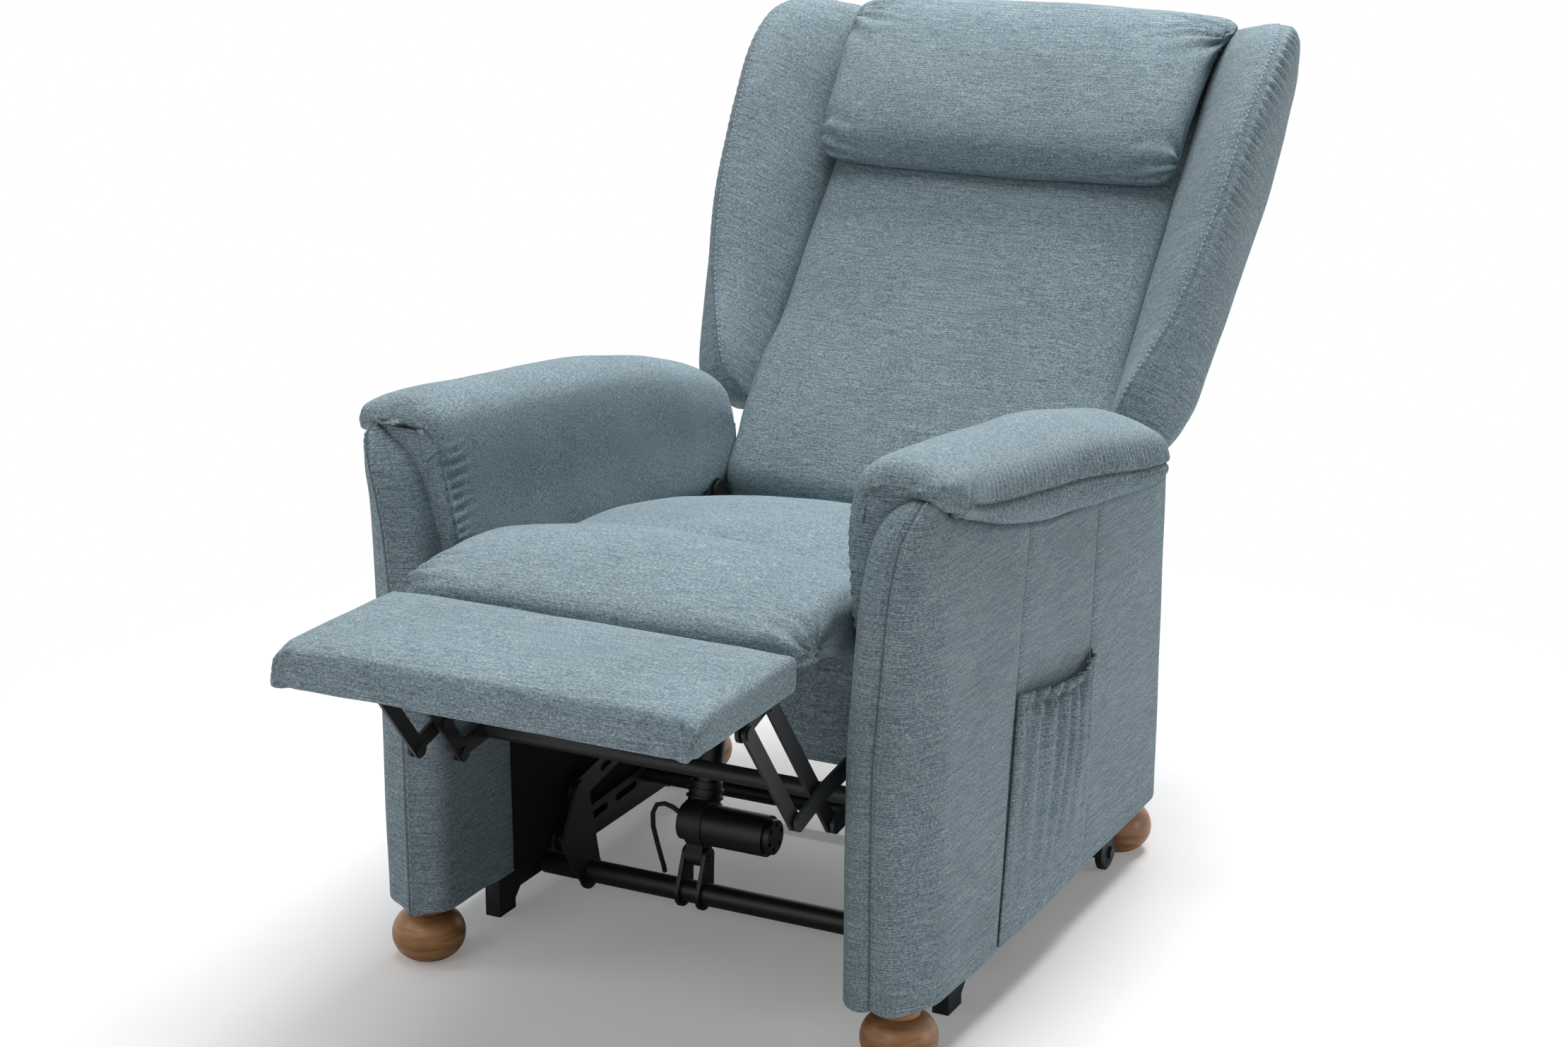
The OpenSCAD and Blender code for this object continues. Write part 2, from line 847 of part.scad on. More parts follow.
// Elastic-topped fabric pocket on the outer face of the right arm, open at its mouth
module side_pocket() {
    skin = 3;
    stations = 18;
    rows = 7;
    sag = 24;
    pleats = 7;
    color(fabric)
    chair_frame()
    loft([for (i = [0 : stations])
        let (v = i / stations, y = pocket_from + v * pocket_w)
        let (mouth = pocket_top - sag * sin(180 * v) - 12 * v)
        let (foot = pocket_top - pocket_h)
        let (face = [for (j = [0 : rows - 1])
            let (h = j / (rows - 1))
            let (stand = pocket_open * pow(sin(180 * v), 0.6) * pow(h, 0.8))
            let (pleat = 1.6 * sin(360 * pleats * v) * h * sin(180 * v))
            [arm_out + soft_gap + stand + pleat, y, foot + h * (mouth - foot)]])
        concat([for (j = [0 : rows - 1]) face[j] + [skin, 0, 0]],
            [for (j = [rows - 1 : -1 : 0]) face[j]])]);
}

// Black lining behind the fabric return of each arm
module lining_board(side) {
    front = 148;
    rear = arm_d - 24;
    low = arm_bottom + 8;
    color("#141517")
    chair_frame()
    on_side(side)
    plate(arm_in - lining_t, lining_t)
    difference() {
        polygon([[front, low], [rear, low], [rear, lining_top], [front, lining_top]]);
        for (spot = bolt_spots)
            hole_2d(spot, bolt_d);
    }
}

module lining_board_left() { lining_board(-1); }
module lining_board_right() { lining_board(1); }

bun_front = 43;
bun_rear = arm_d - 8;

module bun_foot(side, y) {
    belly = (arm_bottom - 8) / 2;
    flat = bun_d / 2 - belly;
    color(timber)
    chair_frame()
    translate([side * (arm_mid + 2), y, 0])
    rotate_extrude($fn = 64) {
        square([flat, 2 * belly]);
        translate([flat, belly])
        intersection() {
            circle(r = belly, $fn = 64);
            translate([0, -belly])
            square([belly, 2 * belly]);
        }
        // turned neck up to the arm
        translate([0, belly])
        square([bun_neck / 2, arm_bottom - belly]);
    }
}

module bun_foot_front_left() { bun_foot(-1, bun_front); }
module bun_foot_front_right() { bun_foot(1, bun_front); }
module bun_foot_rear_left() { bun_foot(-1, bun_rear); }
module bun_foot_rear_right() { bun_foot(1, bun_rear); }

// Bolts that hold each side plate through the lining to its arm
module arm_bolts() {
    head_t = 4;
    color("#4a4c50")
    chair_frame()
    for (side = [-1, 1], spot = bolt_spots)
        on_side(side) {
            bar(plate_x - head_t, plate_x, spot, bolt_d + 6);
            bar(plate_x - 1, arm_in + bolt_reach - 2, spot, bolt_d);
        }
}

// Footrest linkage

foot_pin = pin_d - 2;

module foot_stud(x0, x1, head_x, at) {
    bar(x0, x1, at, foot_pin);
    bar(head_x, head_x + 2.2, at, foot_pin + 5);
}

module footrest_drive_link(side) {
    color(steel)
    chair_frame()
    on_side(side) {
        plate(layer_a, link_t)
        difference() {
            strap(drive_frame, drive_end, foot_link_w + 6, foot_link_w);
            hole_2d(drive_frame, pin_d + 2 * fit);
        }
        foot_stud(layer_b - 2, layer_a + 1, layer_b - 2.5, drive_end);
    }
}

module footrest_drive_link_left() { footrest_drive_link(-1); }
module footrest_drive_link_right() { footrest_drive_link(1); }

module footrest_drive_tube() {
    color(steel)
    chair_frame()
    tube(-layer_a, layer_a, along(drive_frame, drive_end, drive_tube_share), drive_tube_d);
}

module footrest_follower_links() {
    color(steel)
    chair_frame()
    for (side = [-1, 1])
        on_side(side) {
            plate(layer_a, link_t)
            difference() {
                union() {
                    strap(follower_frame, follower_cross, foot_link_w + 4, foot_link_w + 2);
                    strap(follower_cross, follower_end, foot_link_w + 2, foot_link_w);
                }
                hole_2d(follower_frame, pin_d + 2 * fit);
            }
            foot_stud(layer_b - 2, layer_a + 1, layer_b - 2.5, follower_cross);
            foot_stud(layer_b - 2, layer_a + 1, layer_b - 2.5, follower_end);
        }
}

module footrest_carrier_links() {
    color(steel)
    chair_frame()
    for (side = [-1, 1])
        on_side(side)
        plate(layer_b, link_t)
        difference() {
            union() {
                strap(drive_end, follower_cross, foot_link_w, foot_link_w + 2);
                strap(follower_cross, carrier_top, foot_link_w + 2, foot_link_w);
            }
            hole_2d(drive_end, foot_pin + 2 * fit);
            hole_2d(follower_cross, foot_pin + 6 * fit);
            hole_2d(carrier_top, foot_pin + 2 * fit);
        }
}

module footrest_front_links() {
    color(steel)
    chair_frame()
    for (side = [-1, 1])
        on_side(side)
        plate(layer_b, link_t)
        difference() {
            strap(follower_end, front_top, foot_link_w, foot_link_w);
            hole_2d(follower_end, foot_pin + 2 * fit);
            hole_2d(front_top, foot_pin + 6 * fit);
        }
}

foot_board_low = foot_pad_top - foot_pad_t - foot_board_t;

// Pressed angle under each end of the footrest board
module footrest_brackets() {
    flange = 24;
    rear = foot_pad_rear - 22;
    front = foot_front + 24;
    mid = foot_board_low + 1;
    color(steel)
    chair_frame()
    for (side = [-1, 1])
        on_side(side) {
            plate(layer_c, link_t)
            union() {
                strap(carrier_top, front_top, foot_link_w + 2, foot_link_w + 2);
                strap([rear - 10, mid], [front + 10, mid], 14, 14);
            }
            translate([layer_c - flange, front, foot_board_low - 3])
            cube([flange + 1, rear - front, 3]);
            for (at = [carrier_top, front_top]) {
                bar(layer_c + 1, layer_b + link_t + 2, at, foot_pin);
                bar(layer_b + link_t + 0.3, layer_b + link_t + 2.5, at, foot_pin + 5);
            }
        }
}

module footrest_board() {
    inset = 12;
    r = 14;
    depth = foot_pad_d - 2 * inset;
    color(timber)
    chair_frame()
    translate([0, foot_front + inset, foot_board_low])
    linear_extrude(foot_board_t) {
        translate([-layer_c, r])
        square([2 * layer_c, depth - 2 * r]);
        translate([r - layer_c, 0])
        square([2 * (layer_c - r), depth]);
        for (x = [r - layer_c, layer_c - r], y = [r, depth - r])
            translate([x, y])
            circle(r = r);
    }
}

module footrest_pad() {
    low = foot_pad_top - foot_pad_t + soft_gap;
    color(fabric)
    chair_frame()
    soft_block(foot_pad_w / 2, [foot_front, foot_front], [foot_pad_rear, foot_pad_rear],
        [low, low], [foot_pad_top - 4, foot_pad_top], [0, 0], 4, 8, stations = 11, n = 20,
        power = 0.45);
}

// Back, drawn lying flat: X across, Y up along the back and Z to its front

hinge_heel = [-4, -back_pad_t - 12];
hinge_top = [148, -back_pad_t - 12];
board_low = 6;
board_shoulder = 166;
back_top = back_h - 14;
board_upper = arm_out - 8;

module back_hinge(side) {
    eye = pin_d + 16;
    color(steel)
    on_back()
    on_side(side) {
        plate(layer_a, link_t)
        difference() {
            union() {
                strap([0, 0], [hinge_heel[0], hinge_heel[1] + 4], eye, 24);
                strap([hinge_heel[0], hinge_heel[1]], hinge_top, 22, 22);
            }
            slot(hinge_heel, hinge_top, 0.4, 0.6, 8);
        }
        bar(layer_a + 1, plate_x + link_t + 2, [0, 0], pin_d);
        bar(plate_x + link_t + 0.3, plate_x + link_t + 2.5, [0, 0], pin_d + 6);
    }
}

module back_hinge_left() { back_hinge(-1); }
module back_hinge_right() { back_hinge(1); }

// Flat panel that is narrow between the arms and flares out behind the wings
module back_panel(low_half, high_half, low, high, r, thick) {
    shoulder = high_half - 52;
    flare = high_half - 12;
    half = [[low_half, low], [low_half, board_shoulder], [shoulder, board_shoulder],
        [flare, board_shoulder + 50], [high_half, board_shoulder + 230],
        [high_half, high - r], [high_half - r, high]];
    last = len(half) - 1;
    linear_extrude(thick)
    polygon(concat(half, [for (i = [last : -1 : 0]) [-half[i][0], half[i][1]]]));
    for (x = [r - high_half, high_half - r])
        translate([x, high - r, 0])
        cylinder(h = thick, r = r);
}

module back_board() {
    hole = 60;
    color(timber)
    on_back()
    translate([0, 0, -back_pad_t - back_board_t])
    difference() {
        back_panel(layer_a, board_upper, board_low, back_top, 40, back_board_t);
        for (x = [-110, 0, 110], y = [240 : 120 : back_top - 120])
            translate([x, y, -1])
            cylinder(h = back_board_t + 2, d = hole);
    }
}

module back_cover() {
    color(fabric)
    on_back()
    translate([0, 0, -back_depth])
    back_panel(layer_a - 1, arm_out - 2, board_low, cover_top, 44, back_cover_t);
}

module back_cushion() {
    low = soft_gap - back_pad_t;
    color(fabric)
    on_back()
    soft_block(arm_in - 2, [4, 20], [back_top, back_top - 12], [low, low], [-6, -24],
        [0, 0], 15, 20, stations = 13, n = 22, power = 0.5);
}

module head_pillow() {
    top = back_h + 8;
    from = top - pillow_h;
    color(fabric)
    on_back()
    soft_block(arm_in - 8, [from - 6, from + 16], [top, top - 12], [-6.6, -24],
        [pillow_t - 6, 12], [0, 0], 4, 30, stations = 13, n = 20, power = 0.62);
}

// Cross section of a wing: out from the cushion, and forward (or back) of its face
wing_section = [[0, -1], [0, 0.05], [0.22, 0.36], [0.46, 0.72], [0.7, 0.97], [0.84, 1],
    [0.95, 0.8], [1, 0.4], [1, -0.1], [0.97, -0.6], [0.93, -1], [0.5, -1]];
// Stations up a wing, as shares of the back's length, the arm's width and the wing's reach
wing_line = [[0.196, 0.38, 0.08], [0.212, 0.5, 0.28], [0.249, 0.66, 0.5], [0.327, 0.82, 0.62],
    [0.419, 0.96, 0.72], [0.524, 1.05, 0.84], [0.628, 1.11, 0.94], [0.733, 1.15, 1],
    [0.812, 1.17, 0.98], [0.884, 1.16, 0.86], [0.936, 1.11, 0.66], [0.971, 1, 0.42],
    [0.992, 0.84, 0.16], [1, 0.68, 0.02]];

module wing(side) {
    root = arm_in - 1.4;
    low = back_pad_t - soft_gap;
    color(fabric)
    on_back()
    on_side(side)
    loft([for (s = wing_line)
        let (wide = arm_in + s[1] * arm_w - root)
        [for (p = wing_section)
            [root + p[0] * wide, s[0] * back_top,
                p[1] > 0 ? p[1] * s[2] * (wing_reach + 10) : p[1] * low]]]);
}

module wing_left() { wing(-1); }
module wing_right() { wing(1); }

base_rail_left();
base_rail_right();
front_cross_tube();
rear_cross_tube();
lift_bracket_left();
lift_bracket_right();
actuator_bracket();
wheel_left();
wheel_right();
lift_link_left();
lift_link_right();
lift_torque_tube();
control_link_left();
control_link_right();
gearbox_housing();
motor_can();
actuator_tube();
actuator_rod();
motor_lead();
side_plate_left();
side_plate_right();
lift_cross_tube();
seat_cross_tube();
seat_apron();
seat_rear_rail();
seat_webbing();
seat_cushion();
front_pad();
arm_body_left();
arm_body_right();
arm_facing_left();
arm_facing_right();
armrest_pad_left();
armrest_pad_right();
side_pocket();
lining_board_left();
lining_board_right();
bun_foot_front_left();
bun_foot_front_right();
bun_foot_rear_left();
bun_foot_rear_right();
arm_bolts();
footrest_drive_link_left();
footrest_drive_link_right();
footrest_drive_tube();
footrest_follower_links();
footrest_carrier_links();
footrest_front_links();
footrest_brackets();
footrest_board();
footrest_pad();
back_hinge_left();
back_hinge_right();
back_board();
back_cover();
back_cushion();
head_pillow();
wing_left();
wing_right();
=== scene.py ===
import math

import bmesh
import bpy
import numpy as np
from mathutils import Matrix, Vector, noise
from mathutils.bvhtree import BVHTree


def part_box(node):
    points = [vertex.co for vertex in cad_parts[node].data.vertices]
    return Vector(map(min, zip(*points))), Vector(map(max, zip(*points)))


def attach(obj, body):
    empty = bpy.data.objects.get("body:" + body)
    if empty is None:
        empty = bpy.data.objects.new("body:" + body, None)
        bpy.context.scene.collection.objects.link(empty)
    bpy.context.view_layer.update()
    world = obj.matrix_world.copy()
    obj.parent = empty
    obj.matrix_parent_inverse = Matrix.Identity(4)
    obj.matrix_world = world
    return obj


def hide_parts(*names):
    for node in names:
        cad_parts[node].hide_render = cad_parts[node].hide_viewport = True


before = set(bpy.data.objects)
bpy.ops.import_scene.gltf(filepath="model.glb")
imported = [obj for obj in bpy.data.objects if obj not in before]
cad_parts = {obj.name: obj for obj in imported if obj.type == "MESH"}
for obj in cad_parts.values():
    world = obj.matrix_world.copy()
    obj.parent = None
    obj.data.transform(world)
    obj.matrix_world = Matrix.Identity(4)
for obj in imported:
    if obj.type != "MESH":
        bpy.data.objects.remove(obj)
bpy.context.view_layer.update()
print("frame loaded,", len(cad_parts), "nodes")

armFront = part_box("arm_facing_right")[0].y + 0.010
lean = math.radians(41)
hands = ((1, "right"), (-1, "left"))


def place(x, y, z):
    return Vector((x, armFront + y, z))


def onBack(x, t, n):  # across, up along the back, out of its front
    return place(x, 0.650 + t * math.sin(lean) - n * math.cos(lean), 0.420 + t * math.cos(lean) + n * math.sin(lean))


def mixed(a, b, share):
    return a + (b - a) * share


def eased(low, high, value):  # 0 before low, 1 after high, smooth between
    u = min(1.0, max(0.0, (value - low) / (high - low)))
    return u * u * (3 - 2 * u)


def fading(off, width):  # 1 on a line, soon 0 beside it
    return math.exp(-((off / width) ** 2))


def stationAt(stations, key):  # smooth values between the rows of a list, by its first column
    rows = np.array(stations, float)
    keys = rows[:, 0]
    key = min(max(key, keys[0]), keys[-1])
    i = int(min(max(np.searchsorted(keys, key) - 1, 0), len(keys) - 2))
    step = keys[i + 1] - keys[i]
    u = (key - keys[i]) / step
    slope = []
    for k in (i, i + 1):
        before, after = max(k - 1, 0), min(k + 1, len(keys) - 1)
        slope.append((rows[after, 1:] - rows[before, 1:]) / (keys[after] - keys[before]))
    u2, u3 = u * u, u * u * u
    return (
        (2 * u3 - 3 * u2 + 1) * rows[i, 1:]
        + (u3 - 2 * u2 + u) * step * slope[0]
        + (3 * u2 - 2 * u3) * rows[i + 1, 1:]
        + (u3 - u2) * step * slope[1]
    )


def closedCurve(corners, count):  # evenly spaced points on a smooth closed line through the corners
    p = np.array(corners, float)
    fine = []
    for i in range(len(p)):
        a, b, c, d = p[i - 1], p[i], p[(i + 1) % len(p)], p[(i + 2) % len(p)]
        for u in np.linspace(0, 1, 12, endpoint=False):
            bend, twist = 2 * a - 5 * b + 4 * c - d, 3 * b - a - 3 * c + d
            fine.append(0.5 * (2 * b + (c - a) * u + bend * u**2 + twist * u**3))
    fine = np.array(fine + [fine[0]])
    run = np.concatenate([[0], np.cumsum(np.linalg.norm(np.diff(fine, axis=0), axis=1))])
    spots = np.linspace(0, run[-1], count, endpoint=False)
    return np.stack([np.interp(spots, run, fine[:, k]) for k in range(fine.shape[1])], axis=1)


def rowsOf(count, seams=(), gap=0.02):  # rows from -1 to 1, closer at both ends, three at each seam
    spots = [0.55 * u + 0.45 * math.sin(u * math.pi / 2) for u in (-1 + 2 * k / count for k in range(count + 1))]
    for seam in seams:
        spots = [s for s in spots if abs(s - seam) > 1.6 * gap] + [seam - gap, seam, seam + gap]
    return sorted(spots)


def finished(name, mesh, body, material):
    data = bpy.data.meshes.new(name)
    bmesh.ops.recalc_face_normals(mesh, faces=mesh.faces)
    for face in mesh.faces:
        face.smooth = True
    mesh.to_mesh(data)
    mesh.free()
    piece = bpy.data.objects.new(name, data)
    bpy.context.collection.objects.link(piece)
    data.materials.append(material)
    if body:
        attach(piece, body)
    return piece


def segmentedBlock(rows):  # cube with the given rows on each axis
    mesh = bmesh.new()
    # the 'seam' layer holds each vertex's painted shade for the cloth
    mesh.verts.layers.float.new("seam")
    bmesh.ops.create_cube(mesh, size=2)
    for axis in range(3):
        long = [e for e in mesh.edges if abs(e.verts[0].co[axis] - e.verts[1].co[axis]) > 1]
        bmesh.ops.subdivide_edges(mesh, edges=long, cuts=len(rows[axis]) - 2, use_grid_fill=True)
    for vert in mesh.verts:
        for axis in range(3):
            last = len(rows[axis]) - 1
            vert.co[axis] = rows[axis][round((vert.co[axis] + 1) / 2 * last)]
    return mesh


def rounded(p, reach, fillet):  # a cube point moved to a box with curved edges, back in shares of its reach
    core = [max(f - r, min(r - f, c * r)) for c, r, f in zip(p, reach, fillet)]
    push = Vector([(c * r - k) / f for c, r, k, f in zip(p, reach, core, fillet)]).normalized()
    return [(k + f * u) / r for k, f, u, r in zip(core, fillet, push, reach)]


def segmentedTube(sides, rows):  # closed tube; gives the mesh and the side and row of each vertex
    mesh = bmesh.new()
    # the 'seam' layer holds each vertex's painted shade for the cloth
    mesh.verts.layers.float.new("seam")
    bmesh.ops.create_cone(mesh, cap_ends=True, segments=sides, radius1=1, radius2=1, depth=2)
    long = [e for e in mesh.edges if abs(e.verts[0].co.z - e.verts[1].co.z) > 1]
    bmesh.ops.subdivide_edges(mesh, edges=long, cuts=rows - 2, use_grid_fill=True)
    spot = {}
    for vert in mesh.verts:
        turn = math.atan2(vert.co.y, vert.co.x) / (2 * math.pi) * sides
        spot[vert] = (round(turn) % sides, round((vert.co.z + 1) / 2 * (rows - 1)))
    return mesh, spot


def roundSection(spot, sections, side):  # a vertex's point on its section, and its way round from the seam
    j, k = spot
    count = len(sections[k])
    j = j if side > 0 else (count - j) % count
    step = math.dist(sections[k][0], sections[k][1])
    return sections[k][j], ((j + count // 2) % count - count // 2) * step


def undulate(mesh, depth, size, seed):  # slow unevenness of a stuffed surface
    mesh.normal_update()
    moved = {v: v.normal * depth * noise.noise(v.co / size + Vector((seed, seed, seed))) for v in mesh.verts}
    for vert, move in moved.items():
        vert.co += move


def press(mesh, amount):  # amount(vertex): how far it sinks along its normal, and how much painted shade its cloth gets
    mesh.normal_update()
    shadeLayer = mesh.verts.layers.float["seam"]
    moved = {}
    for vert in mesh.verts:
        deep, vert[shadeLayer] = amount(vert)
        moved[vert] = vert.normal * -deep
    for vert, move in moved.items():
        vert.co += move


def gather(mesh, centre, axis, folds):  # folds that run out from a pinched corner, with painted shade in their valleys
    mesh.normal_update()
    axis = Vector(axis).normalized()
    side = axis.orthogonal().normalized()
    other = axis.cross(side)
    shadeLayer = mesh.verts.layers.float["seam"]
    moved = {}
    for vert in mesh.verts:
        away = vert.co - centre
        if away.length < folds["reach"]:
            near = 1 - away.length / folds["reach"]
            turn = math.atan2(away.dot(other), away.dot(side))
            wave = math.cos(turn * folds["count"] + folds["phase"] + 1.4 * noise.noise(away * 30))
            rise = min(1.0, away.length / folds["clear"])
            moved[vert] = vert.normal * folds["depth"] * (wave - 0.35) * near**1.3 * rise
            # painted shade in the valleys of the folds
            vert[shadeLayer] = max(vert[shadeLayer], 0.6 * max(0, -wave) * near * rise)
    for vert, move in moved.items():
        vert.co += move


def linear(code):  # sRGB hex to the linear colour of a shader socket
    parts = [int(code[i : i + 2], 16) / 255 for i in (1, 3, 5)]
    return [c / 12.92 if c <= 0.04045 else ((c + 0.055) / 1.055) ** 2.4 for c in parts] + [1.0]


def addNode(tree, kind, settings=None, links=None):
    node = tree.nodes.new(kind)
    for name, value in (settings or {}).items():
        if isinstance(name, str) and hasattr(node, name):
            setattr(node, name, value)
        else:
            node.inputs[name].default_value = value
    for name, source in (links or {}).items():
        tree.links.new(source, node.inputs[name])
    return node


def newMaterial(name, settings):
    material = bpy.data.materials.new(name)
    material.use_nodes = True
    tree = material.node_tree
    shader = tree.nodes["Principled BSDF"]
    for socket, value in settings.items():
        shader.inputs[socket].default_value = value
    return material, tree, shader


def rampNode(tree, source, stops):
    ramp = addNode(tree, "ShaderNodeValToRGB", {}, {"Fac": source})
    while len(ramp.color_ramp.elements) < len(stops):
        ramp.color_ramp.elements.new(0.5)
    for element, (spot, code) in zip(ramp.color_ramp.elements, stops):
        element.position = spot
        element.color = linear(code)
    return ramp.outputs["Color"]


weave = {
    "long": 36,  # noise units per metre along the yarn
    "across": 560,
    "knots": (360, 480),  # along and across the yarn
    "slubShare": 0.30,
    "ribShare": 0.07,
    "ribs": 210.0,
    "seamFalloff": 1.6,
    "seamShade": 0.72,
    "relief": 0.0012,
}
yarnTones = [(0.32, "#53656f"), (0.42, "#6e818a"), (0.5, "#83959e"), (0.58, "#97a8af"), (0.68, "#b4c2c8")]


def chenille(name, turn, stretch):  # soft blue-grey melange weave with short slubs, matt with a faint bloom
    cloth = {"Roughness": 0.92, "Sheen Weight": 0.07, "Sheen Roughness": 0.5, "Specular IOR Level": 0.2}
    material, tree, shader = newMaterial(name, cloth)
    coordinates = addNode(tree, "ShaderNodeTexCoord").outputs["Object"]
    turned = addNode(tree, "ShaderNodeMapping", {"Rotation": (turn, 0, 0)}, {"Vector": coordinates}).outputs[0]
    # knots of yarn about 3 mm long and 2 mm high, the real 1.5 mm drawn coarser so that it shows
    knotScale = [weave["knots"][0] if s == weave["long"] else weave["knots"][1] for s in stretch]
    knotSpace = addNode(tree, "ShaderNodeMapping", {"Scale": knotScale}, {"Vector": turned}).outputs[0]
    knot = addNode(tree, "ShaderNodeTexNoise", {"Scale": 1.0, "Detail": 2.0, "Roughness": 0.6}, {"Vector": knotSpace})
    # slubs about 28 mm long
    slubSpace = addNode(tree, "ShaderNodeMapping", {"Scale": stretch}, {"Vector": turned}).outputs[0]
    slub = addNode(tree, "ShaderNodeTexNoise", {"Scale": 1.0, "Detail": 2.0, "Roughness": 0.5}, {"Vector": slubSpace})
    yarnMix = {"data_type": "FLOAT", 0: weave["slubShare"]}
    yarn = addNode(tree, "ShaderNodeMix", yarnMix, {2: knot.outputs["Fac"], 3: slub.outputs["Fac"]})
    # woven ribs 3 mm apart, coarser than the real ones too, faint and uneven
    ribScale = [0 if s == weave["long"] else 1 for s in stretch]
    ribSpace = addNode(tree, "ShaderNodeMapping", {"Scale": ribScale}, {"Vector": turned}).outputs[0]
    ribbing = {"wave_type": "BANDS", "bands_direction": "DIAGONAL", "Scale": weave["ribs"]}
    ribbing.update({"Distortion": 4.0, "Detail": 2.0, "Detail Scale": 1.5})
    rib = addNode(tree, "ShaderNodeTexWave", ribbing, {"Vector": ribSpace})
    ribMix = {"data_type": "FLOAT", 0: weave["ribShare"]}
    ribbed = addNode(tree, "ShaderNodeMix", ribMix, {2: yarn.outputs[0], 3: rib.outputs["Fac"]})
    colour = rampNode(tree, ribbed.outputs[0], yarnTones)
    patch = addNode(tree, "ShaderNodeTexNoise", {"Scale": 9.0, "Detail": 2.0}, {"Vector": coordinates})
    shade = rampNode(tree, patch.outputs["Fac"], [(0.3, "#f3f3f3"), (0.7, "#ffffff")])
    multiplied = {"data_type": "RGBA", "blend_type": "MULTIPLY", 0: 1.0}
    worn = addNode(tree, "ShaderNodeMix", multiplied, {6: colour, 7: shade})
    # painted shade: the cloth is drawn a little darker where its 'seam' layer says, in seam grooves, creases, fold
    # valleys and under the armrest pads
    seam = addNode(tree, "ShaderNodeAttribute", {"attribute_name": "seam"})
    falloff = {"operation": "POWER", 1: weave["seamFalloff"]}
    depth = addNode(tree, "ShaderNodeMath", falloff, {0: seam.outputs["Fac"]})
    shading = {"operation": "MULTIPLY", 1: weave["seamShade"]}
    share = addNode(tree, "ShaderNodeMath", shading, {0: depth.outputs[0]})
    paintedShadeMix = {"data_type": "RGBA", 7: linear("#33414a")}
    drawn = addNode(tree, "ShaderNodeMix", paintedShadeMix, {0: share.outputs[0], 6: worn.outputs[2]})
    tree.links.new(drawn.outputs[2], shader.inputs["Base Color"])
    relief = {"Strength": 0.6, "Distance": weave["relief"]}
    bump = addNode(tree, "ShaderNodeBump", relief, {"Height": ribbed.outputs[0]})
    tree.links.new(bump.outputs[0], shader.inputs["Normal"])
    return material


yarnLong, yarnAcross = weave["long"], weave["across"]
seatCloth = chenille("chenilleSeat", 0, (yarnLong, yarnAcross, yarnAcross))
armCloth = chenille("chenilleArm", 0, (yarnLong, yarnLong, yarnAcross))
backCloth = chenille("chenilleBack", lean - math.pi / 2, (yarnLong, yarnAcross, yarnAcross))
wingCloth = chenille("chenilleWing", lean - math.pi / 2, (yarnLong, yarnAcross, yarnLong))

# polyester thread: a dull light line on the cloth, its twist drawn 1 mm long, coarser than the real one
stitchThread, threadTree, threadShader = newMaterial("polyesterThread", {"Roughness": 0.6})
threadPlace = addNode(threadTree, "ShaderNodeTexCoord").outputs["Object"]
threadTwist = addNode(threadTree, "ShaderNodeTexNoise", {"Scale": 900.0, "Detail": 1.0}, {"Vector": threadPlace})
threadTone = rampNode(threadTree, threadTwist.outputs["Fac"], [(0.35, "#8799a2"), (0.65, "#b2c0c6")])
threadTree.links.new(threadTone, threadShader.inputs["Base Color"])


def powderCoat(name, code, rough):  # satin black coat on pressed steel, with a faint orange peel of about 2 mm
    coat = {"Base Color": linear(code), "Roughness": rough, "Specular IOR Level": 0.45}
    material, tree, shader = newMaterial(name, coat)
    place3d = addNode(tree, "ShaderNodeTexCoord").outputs["Object"]
    grain = addNode(tree, "ShaderNodeTexNoise", {"Scale": 420.0, "Detail": 3.0}, {"Vector": place3d})
    bump = addNode(tree, "ShaderNodeBump", {"Strength": 0.12, "Distance": 0.0005}, {"Height": grain.outputs["Fac"]})
    tree.links.new(bump.outputs[0], shader.inputs["Normal"])
    return material


blackSteel = powderCoat("blackSteel", "#1d1e20", 0.42)
darkPlastic = powderCoat("darkPlastic", "#232427", 0.5)  # moulded ABS, its fine grain much like the coat's
blackRubber = powderCoat("blackRubber", "#161617", 0.62)  # the lead's sheath, duller


def brushedMetal(name, code, rough, along):  # fine drawn lines along one axis catch the light in streaks
    # the lines are drawn about 1 mm apart, much coarser than real ones
    material, tree, shader = newMaterial(name, {"Base Color": linear(code), "Metallic": 1.0})
    place3d = addNode(tree, "ShaderNodeTexCoord").outputs["Object"]
    drawn = addNode(tree, "ShaderNodeMapping", {"Scale": along}, {"Vector": place3d}).outputs[0]
    lines = addNode(tree, "ShaderNodeTexNoise", {"Scale": 1.0, "Detail": 3.0}, {"Vector": drawn})
    roughness = {"To Min": rough - 0.08, "To Max": rough + 0.1}
    spread = addNode(tree, "ShaderNodeMapRange", roughness, {"Value": lines.outputs["Fac"]})
    tree.links.new(spread.outputs[0], shader.inputs["Roughness"])
    return material


rodSteel = brushedMetal("rodSteel", "#a9acb0", 0.25, (900, 900, 60))
boltSteel = brushedMetal("boltSteel", "#75787c", 0.35, (120, 900, 900))


def grainedWood(name, stops, scale, stretch, rough, coat):  # stretched noise gives long flecks of grain
    material, tree, shader = newMaterial(name, {"Roughness": rough, "Coat Weight": coat, "Coat Roughness": 0.25})
    place3d = addNode(tree, "ShaderNodeTexCoord").outputs["Object"]
    cut = addNode(tree, "ShaderNodeMapping", {"Scale": stretch}, {"Vector": place3d}).outputs[0]
    grain = {"Scale": scale, "Detail": 5.0, "Roughness": 0.6, "Distortion": 0.6}
    drift = addNode(tree, "ShaderNodeTexNoise", grain, {"Vector": cut})
    tree.links.new(rampNode(tree, drift.outputs["Fac"], stops), shader.inputs["Base Color"])
    bump = addNode(tree, "ShaderNodeBump", {"Strength": 0.15, "Distance": 0.0006}, {"Height": drift.outputs["Fac"]})
    tree.links.new(bump.outputs[0], shader.inputs["Normal"])
    return material


